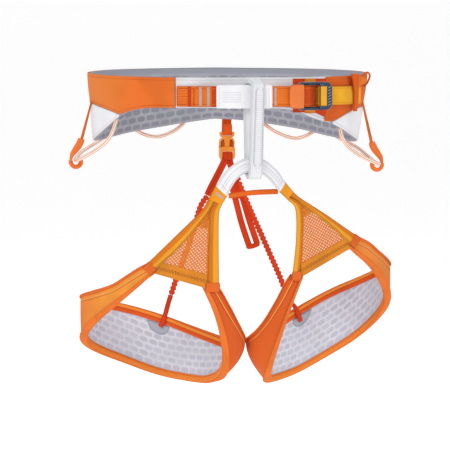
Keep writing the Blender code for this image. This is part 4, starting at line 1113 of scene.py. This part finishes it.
FORK = {
    "left": {
        "collar": [(-43.8, -103.6, -93.2), (-50.2, -101, -105.8), (-31.9, -103.6, -104.0),
                   (-36.1, -101, -111.6)],
        "outer_out": [(-50.8, -100.8, -106.8), (-58.5, -97, -119.4), (-85.9, -84, -148.5),
                      (-110.2, -66.4, -175.2)],
        "outer_in": [(-44.6, -100.6, -109.4), (-51.2, -97, -121.5), (-74.4, -86, -152.6),
                     (-102.4, -70.4, -182.4)],
        "inner_in": [(-43.5, -100.6, -110.0), (-49.2, -98.3, -122.0), (-50.3, -90, -160.0),
                     (-50.4, -84.4, -197.0)],
        "inner_out": [(-36.4, -100.8, -112.6), (-38.8, -98.6, -122.0), (-38.2, -92, -155.0),
                      (-36.6, -84.8, -197.4)],
    },
    "right": {
        "collar": [(30.6, -103.6, -89.8), (38.6, -101, -99.0), (24.2, -103.6, -99.6), (32.0, -101, -106.8)],
        "outer_out": [(39.2, -100.8, -99.6), (47.5, -97.5, -106.2), (77.0, -86, -124.6),
                      (113.0, -65.4, -148.0)],
        "outer_in": [(36.5, -100.6, -103.4), (50.8, -97, -113.4), (79.6, -86, -135.6),
                     (106.4, -69.4, -158.2)],
        "inner_in": [(35.4, -100.6, -104.2), (49.0, -98.3, -115.4), (51.2, -91, -150.0),
                     (50.4, -84.4, -186.6)],
        "inner_out": [(32.6, -100.8, -107.4), (41.4, -98.6, -118.0), (43.2, -92, -150.0),
                      (40.8, -84.8, -186.6)],
    },
}


def lengthen(path):
    """The path with a few more points at both ends, dipping inwards under its neighbours."""
    start, end = (path[0] - path[1]).normalized(), (path[-1] - path[-2]).normalized()
    inwards = Vector((0, 1, 0))
    before = [path[0] + start * 3.6 + inwards * 1.0, path[0] + start * 1.8 + inwards * 0.6]
    after = [path[-1] + end * step + inwards * dip for step, dip in ((2.0, 0.7), (4.0, 1.6), (6.0, 2.2))]
    return before + path + after


def build_fork(side, body):
    points = FORK[side]
    collar = points["collar"]
    collar_cloth = cloth("fork_collar_cloth_" + side, "EE9A26", sheen=0.1, rib=2.0, edge=0.3)
    low_edge, high_edge = smooth_path(collar[2:], 14), smooth_path(collar[:2], 14)
    for path in (low_edge, high_edge):
        path.insert(0, path[0] + (path[0] - path[1]).normalized() * 3.0 + Vector((0, 1.2, 0)))
    neck = Ribbon(low_edge, high_edge)
    settle(neck.solid("fork_collar_" + side + "_band", -1.2, 1.2, collar_cloth, crown=0.5, columns=8), body,
           "fork_collar_" + side)
    if side == "left":
        bars = neck.tack(6.5, 3.0, -5.8, 4.6, 0.95, 1.8)
        settle(threads("fork_collar_left_bar_tack", bars, 0.42, TACK), body)
    edges = {key: lengthen(smooth_path(path, 60)) for key, path in points.items() if key != "collar"}
    outer = Ribbon(edges["outer_in"], edges["outer_out"])
    # painted light and shade: each strap has a lighter and a darker half, as if creased down the middle
    outer_cloth = cloth("fork_strap_outer_cloth_" + side, "EBA030", sheen=0.05, amount=0.06, edge=0.3,
                        far_half_shading="DC7A20", seams=[("low", 1.5, 0.3, "A85A16")])
    settle(outer.solid("fork_strap_outer_" + side + "_webbing", -0.8, 0.8, outer_cloth, crown=0.9, columns=14,
                       wave=0.3, wave_size=14.0), body, "fork_strap_outer_" + side)
    inner = Ribbon(edges["inner_in"], edges["inner_out"])
    inner_cloth = cloth("fork_strap_inner_cloth_" + side, "D97A1E", sheen=0.05, amount=0.06, edge=0.3,
                        far_half_shading="ECA232", seams=[("low", 2.0, 0.3, "A85A16"), ("mid", -0.4, 0.3, "C8741C")])
    settle(inner.solid("fork_strap_inner_" + side + "_webbing", -0.8, 0.8, inner_cloth, crown=0.9, columns=14,
                       wave=0.3, wave_size=16.0), body, "fork_strap_inner_" + side)
    rows = outer.stitches(1.5, "low", 12, None, 1.9, 1.0, 1.2)
    rows += inner.stitches(2.0, "low", 12, None, 1.9, 1.0, 1.3)
    settle(threads("fork_stitching_" + side, rows, 0.26, GOLD_THREAD), body)
    # folded ends of the shell over both straps
    cuff_cloth = cloth("fork_cuff_cloth_" + side, "DF6A2A", sheen=0.05, edge=0.45)
    for label, ribbon in (("outer", outer), ("inner", inner)):
        lows, highs = [], []
        for mid, up, half in list(zip(ribbon.mid, ribbon.up, ribbon.half))[-6:]:
            centre = mid + Vector((0, -0.9 - 0.25 * len(lows), 0))
            lows.append(centre - up * (half + 0.7))
            highs.append(centre + up * (half + 0.7))
        cuff = Ribbon(lows, highs)
        settle(cuff.solid("fork_cuff_" + label + "_" + side, -0.2, 1.0, cuff_cloth, crown=0.6, columns=8,
                          lip=0.5),
               body)
    # solid gusset where the straps part
    seam_cloth = cloth("fork_gusset_cloth_" + side, "D87A22", sheen=0.05, edge=0.2)
    gusset = Ribbon([p + Vector((0, 0.6, 0)) for p in edges["inner_in"][1:22]],
                    [p + Vector((0, 0.6, 0)) for p in edges["outer_in"][1:22]])
    settle(gusset.solid("fork_gusset_" + side, -0.4, 0.4, seam_cloth, columns=6, lip=0.2), body)
    # mesh panel, a little under both straps, and its folded hem
    near, far = [], []
    for a, b in zip(edges["outer_in"][15:-3], edges["inner_in"][15:-3]):
        across = (b - a).normalized() * 1.6 + Vector((0, -0.7, 0))
        near.append(a - across)
        far.append(b + across)
    for _ in range(2):
        near.append(near[-1] + (near[-1] - near[-2]) * 0.9)
        far.append(far[-1] + (far[-1] - far[-2]) * 0.9)
    panel = Ribbon(far, near)
    mesh_cloth = netting("fork_mesh_cloth_" + side, "DA7420", 2.7)
    net = panel.solid("fork_mesh_" + side + "_panel", -0.25, 0.25, mesh_cloth, columns=10, lip=0.1)
    settle(net, body, "fork_mesh_" + side)
    hem = Ribbon(far[-11:], near[-11:])
    hem_cloth = cloth("fork_hem_cloth_" + side, "D9862A", sheen=0.1, pitch=1.2, edge=0.2)
    settle(hem.solid("fork_hem_" + side + "_tape", -0.8, 0.8, hem_cloth, columns=12, lip=0.3), body)
    zigzag = hem.tack(hem.length / 2, 4.0, -hem.half[-1] + 1.0, hem.half[-1] - 2.0, 1.7, 0.95)
    settle(threads("fork_hem_" + side + "_zigzag", zigzag, 0.3, GOLD_THREAD), body)


REAR_ANCHOR = {"left": 184.5, "right": 185.0}


def build_leg(side):
    wall = LegWall(side)
    body = side + "_leg_loop"
    band = wall.ribbon()
    # painted light and shade: the left shell is lighter than the right, a painted highlight runs just under the top
    # edge with painted shade in the seam below it, and each shell darkens along the loop, darkest near its crotch end
    shell_cloth = cloth("leg_shell_cloth_" + side, "F39A3E" if side == "left" else "EA8A3E", sheen=0.1,
                        edge=0.15,
                        amount=0.08, seams=[("high", 7.2, 0.3, "9C4116")],
                        stripes=[("high", 6.3, 0.5, "F0A050")],
                        fades=[(50, 170, "E8702A"), (band.length - 150, band.length - 50, "D95F27")])
    shell = band.solid("leg_shell_" + side + "_cover", -LEG_SHELL, 0, shell_cloth, crown=0.5, columns=10,
                       wave=0.8,
                       wave_size=40.0)
    settle(shell, body, "leg_shell_" + side)
    dots = band.stitches(8.3, "high", 4 if side == "right" else 92, None, 1.7, 1.4, 0.35)
    settle(threads("leg_shell_" + side + "_stitching", dots, 0.26, RED_THREAD), body)
    if side == "left":
        dots = band.stitches(5.4, "high", 6, 90, 1.8, 1.5, 0.4)
        settle(threads("leg_shell_left_light_stitching", dots, 0.3, LIGHT_THREAD), body)
    ends = []
    for u in (3.0, band.length - 3.0):
        half = band.half[0] if u < 10 else band.half[-1]
        ends += band.upright(u, -half + 1.5, half - 2, 1.7, 2.3, 0.4)
    settle(threads("leg_shell_" + side + "_end_stitching", ends, 0.28, GOLD_THREAD), body)
    lining_cloth = cloth("leg_lining_cloth_" + side, "DDDEE9", sheen=0.2, edge=0.05, amount=0.04,
                         bricks=(9.8, 4.9, 11.8, 7.4, "C6C8D5", 8.5, 7.5))
    lining = band.solid("leg_lining_" + side + "_padding", -LEG_WALL, -LEG_SHELL - GAP, lining_cloth,
                        under=0.5,
                        columns=10, lip=1.7, wave=0.5)
    settle(puff(lining, 10), body, "leg_lining_" + side)
    top_cloth = binding_cloth("leg_binding_top_cloth_" + side, "DF6A2C", "EE8C38", "DD5A26", 15.4, "A8330F")
    settle(rail("leg_binding_top_" + side + "_tape", wall.edge_frames(1), binding_outline(2.2, 8), top_cloth),
           body,
           "leg_binding_top_" + side)
    low_cloth = binding_cloth("leg_binding_bottom_cloth_" + side, "E2742F", "E98438", "E67A30", 17.4,
                              "C0501A")
    settle(rail("leg_binding_bottom_" + side + "_tape", wall.edge_frames(-1), binding_outline(1.8, 7),
                low_cloth),
           body, "leg_binding_bottom_" + side)
    build_patch(side, wall, body)
    build_fork(side, body)


def build_patch(side, wall, body):
    """Half disc on the inside of the lining, hanging from the top binding."""
    centre, radius, depth = REAR_ANCHOR[side], 12.0, -LEG_WALL - 1.0
    lows, highs, normals = [], [], []
    for step in range(25):
        share = -0.985 + 1.97 * step / 24
        bearing = centre + share * radius * 0.8
        high = wall.top(bearing) - 9.0
        highs.append(wall.point(bearing, depth, high))
        lows.append(wall.point(bearing, depth, high - radius * sqrt(1 - share * share)))
        normals.append(-wall.normal(bearing))
    patch_cloth = cloth("rear_patch_cloth_" + side, "AEB3BE", sheen=0.1, edge=0.2, pitch=1.1,
                        seams=[("low", 1.6, 0.3, "8E94A2")])
    disc = Ribbon(lows, highs, normals)
    settle(disc.solid("rear_patch_" + side + "_disc", -0.4, 0.5, patch_cloth, lip=0.3), body,
           "rear_patch_" + side)


# ================================================================ rear straps
RED = "DB431C"
ELASTIC = {
    "left": [(-20.9, 101.0, -114.8), (-29.6, 98, -128.0), (-39.6, 92, -159.4), (-54.8, 84, -196.0),
             (-64.6, 77.2, -221.0)],
    "right": [(15.0, 105.5, -99.8), (25.5, 102, -126.0), (42.0, 95, -165.0), (58.0, 83, -205.0),
              (64.8, 76.0, -226.0)],
}
REAR_TAB = {
    "left": [(-65.0, 76.8, -221.8), (-69.0, 71.5, -232.0), (-72.0, 65.6, -239.6), (-74.2, 62.0, -244.5),
             (-76.2, 62.4, -250.0), (-78.4, 63.8, -255.0)],
    "right": [(65.1, 75.6, -226.8), (67.6, 71.5, -231.6), (70.2, 64.8, -234.4), (72.6, 61.0, -239.6),
              (75.0, 61.8, -245.5), (77.6, 63.4, -251.8)],
}


DROP_X, DROP_Y = 2.3, 108.3


def plates(name, outlines, front, back, surface, bevel=0.7):
    """Flat shapes outlined in X and Z round the buckle's middle, with their edges rounded."""
    work = bmesh.new()
    for outline in outlines:
        near, far = ([work.verts.new(Vector((DROP_X + x, y, z)) * MM) for x, z in outline] for y in (front, back))
        work.faces.new(near)
        work.faces.new(far[::-1])
        for index in range(len(outline)):
            work.faces.new((near[index - 1], far[index - 1], far[index], near[index]))
    bmesh.ops.recalc_face_normals(work, faces=work.faces)
    soften(work, bevel, 24)
    data = bpy.data.meshes.new(name)
    work.to_mesh(data)
    work.free()
    data.materials.append(surface)
    data.shade_smooth()
    data.set_sharp_from_angle(angle=radians(40))
    return placed(name, data)


def build_drop_buckle():
    """Side-release buckle: crossbar and tongue above, sprung prongs at both sides, socket with legs below."""
    plastic = plain("drop_buckle_plastic", "EE8C1C", 0.4, coat=0.1, grain=0.05, wear=0.1)
    shaded = plain("drop_buckle_inside", "C4600F", 0.5, grain=0.05, wear=0)
    y = DROP_Y
    top = [(-7.4, -44.2), (7.4, -44.2), (8.5, -45.2), (8.4, -46.8), (7.2, -46.9), (-7.2, -46.9),
           (-8.4, -46.8),
           (-8.5, -45.2)]
    cheeks = [[(sign * x, z) for x, z in ((5.0, -46.0), (8.4, -46.0), (8.0, -48.6), (6.6, -50.2),
                                          (5.0, -50.4))]
              for sign in (-1, 1)]
    low = [(-6.6, -48.5), (6.6, -48.5), (6.0, -50.4), (4.2, -51.6), (3.0, -54.0), (2.6, -61.0), (3.2, -65.6),
           (-3.2, -65.6), (-2.6, -61.0), (-3.0, -54.0), (-4.2, -51.6), (-6.0, -50.4)]
    settle(plates("drop_buckle_plug_plate", [top] + cheeks + [low], y - 1.9, y + 1.9, plastic), "drop_plug",
           "drop_buckle_plug")
    for side, sign in (("left", -1), ("right", 1)):
        arm = [(5.0, -50.9), (6.6, -51.0), (8.2, -53.6), (8.7, -57.0), (8.3, -60.4), (7.0, -60.6),
               (7.2, -57.0),
               (6.6, -54.4), (5.0, -52.8)]
        arm = [(sign * x, z) for x, z in arm]
        settle(plates("drop_buckle_prong_" + side + "_arm", [arm], y - 1.5, y + 1.5, plastic, 0.5),
               "drop_prong_" + side, "drop_buckle_prong_" + side)
    body = [(-8.8, -61.4), (-4.2, -60.6), (4.2, -60.6), (8.8, -61.4), (8.9, -64.4), (8.9, -67.8),
            (-8.9, -67.8),
            (-8.9, -64.4)]
    legs = [[(sign * x, z) for x, z in ((5.0, -66.6), (8.9, -66.6), (8.9, -71.0), (7.8, -74.0), (6.2, -75.4),
                                        (5.4, -73.4), (5.0, -70.0))] for sign in (-1, 1)]
    bar = [(-6.0, -69.4), (6.0, -69.4), (6.0, -70.6), (-6.0, -70.6)]
    settle(plates("drop_buckle_socket_body", [body] + legs + [bar], y - 3.4, y + 3.4, plastic, 0.9),
           "waist_belt",
           "drop_buckle_socket")
    back = [(-7.8, -52.4), (7.8, -52.4), (8.6, -56.0), (8.6, -62.0), (-8.6, -62.0), (-8.6, -56.0)]
    settle(plates("drop_buckle_socket_back", [back], y + 2.0, y + 3.4, shaded, 0.5), "waist_belt")


def build_rear_straps():
    x, y = DROP_X, DROP_Y
    red_cloth = cloth("rear_webbing_cloth", RED, rib=1.8, sheen=0.08, pitch=1.0,
                      stripes=[("mid", 0.0, 0.35, "B9340F")])
    drop = [(x, 107.9, 4), (x, 108.0, -12), (x, 109.2, -30), (x, 111.6, -42), (x, 111.4, -46),
            (x, 108.3, -47.7), (x, 105.2, -46), (x, 105.0, -41), (x, 106.6, -36)]
    web = strap_ribbon(drop, 10.6, 80, (1, 0, 0))
    orange_cloth = cloth("rear_drop_webbing_cloth", "E85A1E", rib=1.8, sheen=0.08, pitch=1.0)
    piece = web.solid("rear_drop_webbing_strap", -0.6, 0.6, orange_cloth, columns=8)
    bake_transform(piece)
    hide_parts("rear_drop_webbing")
    round_bar = [(4.6, -70.0), (4.2, -67.6), (2.4, -66.6), (0, -66.5), (-2.4, -66.6), (-4.2, -67.6),
                 (-4.6, -70.0), (-4.2, -73.0), (-2.2, -74.7), (0, -75.0), (2.2, -74.7), (4.2, -73.0)]
    centres = [Vector((x, y + depth, height)) for depth, height in round_bar]
    total = len(centres)
    dense = [curve_point(*(centres[(index + near) % total] for near in (-1, 0, 1, 2)), step / 3)
             for index in range(total) for step in range(3)]
    side = Vector((5.2, 0, 0))
    loop = Ribbon([p - side for p in dense], [p + side for p in dense], hint=(0, 1, 0), closed=True)
    settle(loop.solid("riser_loop_webbing", -0.6, 0.6, red_cloth, columns=6), "waist_belt", "riser_loop")
    left = [(0.4, 107.4, -71.6), (-1.2, 107.0, -77.6), (-6.6, 105.6, -88.0), (-15.5, 102.8, -104.0),
            (-20.6, 101.2, -114.0)]
    right = [(4.4, 109.0, -71.6), (5.6, 108.8, -77.6), (8.0, 107.8, -85.0), (12.4, 106.4, -94.0),
             (14.6, 105.6, -99.0)]
    for label, points in (("left", left), ("right", right)):
        riser_cloth = cloth("riser_strap_cloth_" + label, "E2401C", rib=1.5, sheen=0.08, pitch=1.0,
                            seams=[("mid", 0.0, 0.4, "A8260B")])
        ribbon = strap_ribbon(points, 7.6, 30, (1, 0, 0))
        settle(ribbon.solid("riser_strap_" + label + "_webbing", -0.7, 0.7, riser_cloth, columns=8,
                            crown=0.3),
               "waist_belt", "riser_strap_" + label)
    build_tails()


def build_tails():
    """Two loose ends of the risers, joined by a fold at the bottom."""
    tails_cloth = cloth("adjuster_tails_cloth", "E8481C", rib=1.5, sheen=0.08, pitch=1.0)
    front = 110.4
    first = strap_ribbon([(7.0, front, -100.0), (12.2, front, -119.0), (19.2, front, -146.0),
                          (28.3, front, -173.4)],
                         6.8, 50, (1, 0, 0.3))
    second = strap_ribbon([(13.0, front, -99.5), (20.6, front, -119.0), (28.0, front, -143.5),
                           (37.0, front, -169.6)],
                          6.8, 50, (1, 0, 0.3))
    piece = first.solid("adjuster_tail_left", -0.8, 0.8, tails_cloth, crown=0.2)
    settle(piece, "adjuster_tails", "adjuster_tails")
    settle(second.solid("adjuster_tail_right", -0.8, 0.8, tails_cloth, crown=0.2), "adjuster_tails")
    foot = strap_ribbon([(26.0, front, -172.6), (32.5, front, -171.4), (38.8, front, -168.6)], 5.2, 14,
                        (-0.3, 0, 1))
    settle(foot.solid("adjuster_tail_fold", -1.5, 1.5, tails_cloth, crown=0.3, lip=0.9), "adjuster_tails")
    head = strap_ribbon([(10.4, front, -98.0), (13.6, front, -108.0), (16.0, front, -118.5)], 13.0, 14,
                        (1, 0, 0.3), widths=lambda t: 9.0 + 6.0 * t)
    settle(head.solid("adjuster_tail_head", -0.7, 0.7, tails_cloth, crown=0.2), "adjuster_tails")


def build_elastics(side):
    sign = -1 if side == "left" else 1
    body = side + "_leg_loop"
    rubber = cloth("rear_elastic_cloth_" + side, "E5431B", sheen=0.05, pitch=1.0, roughness=0.7, edge=0.3)
    points = ELASTIC[side]
    length = sum((Vector(b) - Vector(a)).length for a, b in zip(points, points[1:]))
    count = round(length / 0.6)

    def bead(t):
        return 3.4 + 3.4 * abs(sin(pi * t * length / 4.7)) ** 0.7

    ribbon = strap_ribbon(points, 5.0, count, (1, 0, sign * 0.4), widths=bead)
    piece = ribbon.solid("rear_elastic_" + side + "_cord", -1.0, 1.0, rubber, crown=0.6, under=0.6, columns=4,
                         lip=0.5)
    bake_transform(piece)
    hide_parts("rear_elastic_" + side)
    tab_cloth = cloth("rear_tab_cloth_" + side, "DE4320", rib=1.3, sheen=0.05, pitch=1.0)
    tab = strap_ribbon(REAR_TAB[side], 5.4, 40, (1, sign * 0.42, sign * 0.4))
    settle(tab.solid("rear_tab_" + side + "_strap", -0.6, 0.6, tab_cloth, crown=0.3), body,
           "rear_tab_" + side)


# ================================================================ gear loops
GEAR_LOOPS = {
    "front_left": [(-60.5, -3.0, -14), (-60.8, -2.8, -24), (-60.4, 0.8, -31), (-60.2, 4.6, -37),
                   (-61.2, 7.2, -43), (-63.4, 9.6, -48.6), (-67.3, 12.7, -54.6), (-73.3, 16.4, -61),
                   (-81, 19.9, -66.6), (-90, 21.4, -69.6), (-99, 20.3, -67.6), (-107, 17.0, -62),
                   (-116, 11.6, -55.6), (-122, 7.6, -50), (-126, 5.2, -43), (-128, 4.4, -33)],
    "front_right": [(48.5, -3.2, -24), (48.5, -3.0, -32), (46.8, 1.2, -38.5), (46.0, 5.4, -44.5),
                    (48, 9.2, -52.4), (51.8, 13.4, -59.3), (57, 18.4, -65.2), (64.5, 23.6, -70.2),
                    (75, 26.8, -73.6), (88, 27.7, -75), (97, 25.8, -71), (106, 20.1, -61.5),
                    (114, 14.0, -54), (120, 8.6, -48.5), (124, 5.2, -42), (126, 4.4, -33)],
    "rear_left": [(-140, 4.4, -24), (-141.5, 4.4, -36), (-147, 4.8, -44), (-153, 5.4, -48.5),
                  (-158, 5.2, -48),
                  (-163.5, 4.8, -42.5), (-167.5, 4.4, -34), (-168.5, 4.4, -24)],
    "rear_right": [(130.5, 4.4, -26), (132, 4.4, -38), (137, 4.8, -46.5), (143, 5.4, -51), (148, 5.2, -49.5),
                   (154, 4.8, -43.5), (158.5, 4.4, -35), (159.5, 4.4, -26)],
}
GEAR_BODIES = {"front_left": "front_left_gear_loop", "front_right": "front_right_gear_loop",
               "rear_left": "rear_left_gear_loop", "rear_right": "rear_right_gear_loop"}
GEAR_TUBE_RADIUS = 2.1
SEPARATORS = {"left": (-90, 21.4, -69.6), "right": (88, 27.7, -75)}
HOOK_RING_RADIUS, HOOK_BAR_RADIUS, HOOK_DROP = 5.5, 1.35, 1.4
# way of a hook's post from its ring up to the strap: across, height, half width
HOOK_POST = [(5.4, 1.0, 1.3), (5.0, 4.2, 1.7), (3.6, 8.0, 2.6), (0.6, 12.2, 3.4), (-2.6, 16.6, 3.8),
             (-4.9, 21.0, 3.8), (-6.0, 24.4, 3.4)]


def build_gear_loops():
    for place, keys in GEAR_LOOPS.items():
        skin = striped_tube("gear_loop_sleeve_" + place, "F1E4D6", "D9702F", 2 * pi * GEAR_TUBE_RADIUS)
        piece = tube("gear_loop_" + place + "_tube", [belt_point(*key) for key in keys], GEAR_TUBE_RADIUS,
                     skin, 90)
        settle(piece, GEAR_BODIES[place], "gear_loop_" + place)


def build_separators():
    for side, (bearing, outward, height) in SEPARATORS.items():
        sign = -1 if side == "left" else 1
        body = "front_" + side + "_gear_loop"
        plastic = plain("separator_plastic_" + side, "E5701F", 0.5, grain=0.05, wear=0.08)
        centre = belt_point(bearing, outward, height) - Vector((0, 0, HOOK_DROP))
        points = []
        for angle in range(-125, 111, 10):
            turn = radians(angle)
            points.append(centre + Vector((sign * sin(turn), 0, -cos(turn))) * HOOK_RING_RADIUS)
        ring = tube("separator_ring_" + side, points, HOOK_BAR_RADIUS, plastic, len(points), smooth=False,
                    flat=2.2)
        settle(ring, body, "separator_hook_" + side)
        neck = smooth_path([centre + Vector((sign * x, 0, z)) for x, z, _ in HOOK_POST], 36)
        frames = []
        for place, way in zip(neck, directions(neck)):
            half = smooth_value([(z, half) for _, z, half in HOOK_POST], (place - centre).z)
            frames.append((place, Vector((way.z, 0, -way.x)) * half, Vector((0, 2.6, 0))))
        outline = []
        for k in range(24):
            x, y = cos(2 * pi * k / 24), sin(2 * pi * k / 24)
            outline.append((copysign(abs(x) ** 0.7, x), copysign(abs(y) ** 0.7, y)))
        post = rail("separator_post_" + side, frames, outline, plastic)
        settle(post, body)
        start = 70 if side == "right" else -84
        hip, hook = belt_point(start, 2.4, -8), neck[-1] + Vector((0, 0, -1.5))
        path = [hip, hip.lerp(hook, 0.35), hip.lerp(hook, 0.7), hook]
        strap_cloth = cloth("separator_strap_cloth_" + side, "E8762C", rib=1.2, pitch=0.9, sheen=0.05)
        ribbon = strap_ribbon(path, 3.2, 60, (1, -0.6 * sign, 0), hint=(0, -1, 0),
                              widths=lambda t: 2.2 + 1.6 * t)
        strap = ribbon.solid("separator_strap_" + side + "_cord", -0.6, 0.6, strap_cloth, crown=0.2,
                             columns=4)
        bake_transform(strap)
        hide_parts("separator_strap_" + side)


# ================================================================ stage
# the photograph looks from 9 degrees to the left and 4 degrees above, at this point in metres
VIEW_TARGET, VIEW_AZIMUTH, VIEW_HEIGHT, VIEW_DISTANCE = Vector((-0.017, 0, -0.140)), -9, 4, 3.0
LAMPS = [("key", (-1.4, -2.2, 1.6), 1.2, 30.0), ("fill", (1.8, -1.8, 0.4), 1.4, 9.0),
         ("rim", (0.6, 1.8, 1.4), 1.2, 12.0)]


def build_stage():
    """Pale curved backdrop, soft light and the camera."""
    scene = bpy.context.scene
    profile = [(-9.0, -0.46), (3.6, -0.46)]
    profile += [(3.6 + 1.6 * sin(radians(a)), 1.14 - 1.6 * cos(radians(a))) for a in range(9, 91, 9)]
    profile += [(5.2, 7.0)]
    verts = [(x, y, z) for y, z in profile for x in (-9, 9)]
    data = bpy.data.meshes.new("floor")
    data.from_pydata(verts, [], [(2 * i, 2 * i + 1, 2 * i + 3, 2 * i + 2) for i in range(len(profile) - 1)])
    data.shade_smooth()
    floor_paint = bpy.data.materials.new("floor_paint")
    floor_paint.use_nodes = True
    paint = floor_paint.node_tree.nodes["Principled BSDF"].inputs
    paint["Base Color"].default_value = (0.9, 0.9, 0.9, 1)
    paint["Roughness"].default_value = 0.9
    paint["Emission Color"].default_value = (1, 1, 1, 1)
    paint["Emission Strength"].default_value = 0.3
    data.materials.append(floor_paint)
    floor_object = bpy.data.objects.new("floor", data)
    scene.collection.objects.link(floor_object)
    world = bpy.data.worlds.new("studio")
    world.use_nodes = True
    world.node_tree.nodes["Background"].inputs["Color"].default_value = (1, 1, 1, 1)
    world.node_tree.nodes["Background"].inputs["Strength"].default_value = 0.6
    scene.world = world
    for label, place, size, power in LAMPS:
        lamp = bpy.data.lights.new(label, "AREA")
        lamp.energy = power
        lamp.size = size
        made = bpy.data.objects.new(label, lamp)
        made.location = place
        made.rotation_euler = (VIEW_TARGET - Vector(place)).to_track_quat("-Z", "Y").to_euler()
        scene.collection.objects.link(made)
    camera = bpy.data.cameras.new("camera")
    camera.lens = 224.3
    camera.sensor_width = 36
    camera.clip_end = 50
    az, el = radians(VIEW_AZIMUTH), radians(VIEW_HEIGHT)
    place = VIEW_TARGET + Vector((sin(az) * cos(el), -cos(az) * cos(el), sin(el))) * VIEW_DISTANCE
    made = bpy.data.objects.new("camera", camera)
    made.location = place
    made.rotation_euler = (VIEW_TARGET - place).to_track_quat("-Z", "Y").to_euler()
    scene.collection.objects.link(made)
    scene.camera = made
    scene.view_settings.view_transform = "Standard"


build_belt()
build_buckle_backing()
build_webbing()
build_buckle()
build_tail()
build_belay_loop()
build_bridge()
for leg_side in ("left", "right"):
    build_leg(leg_side)
    build_elastics(leg_side)
build_drop_buckle()
build_rear_straps()
build_gear_loops()
build_separators()
build_stage()
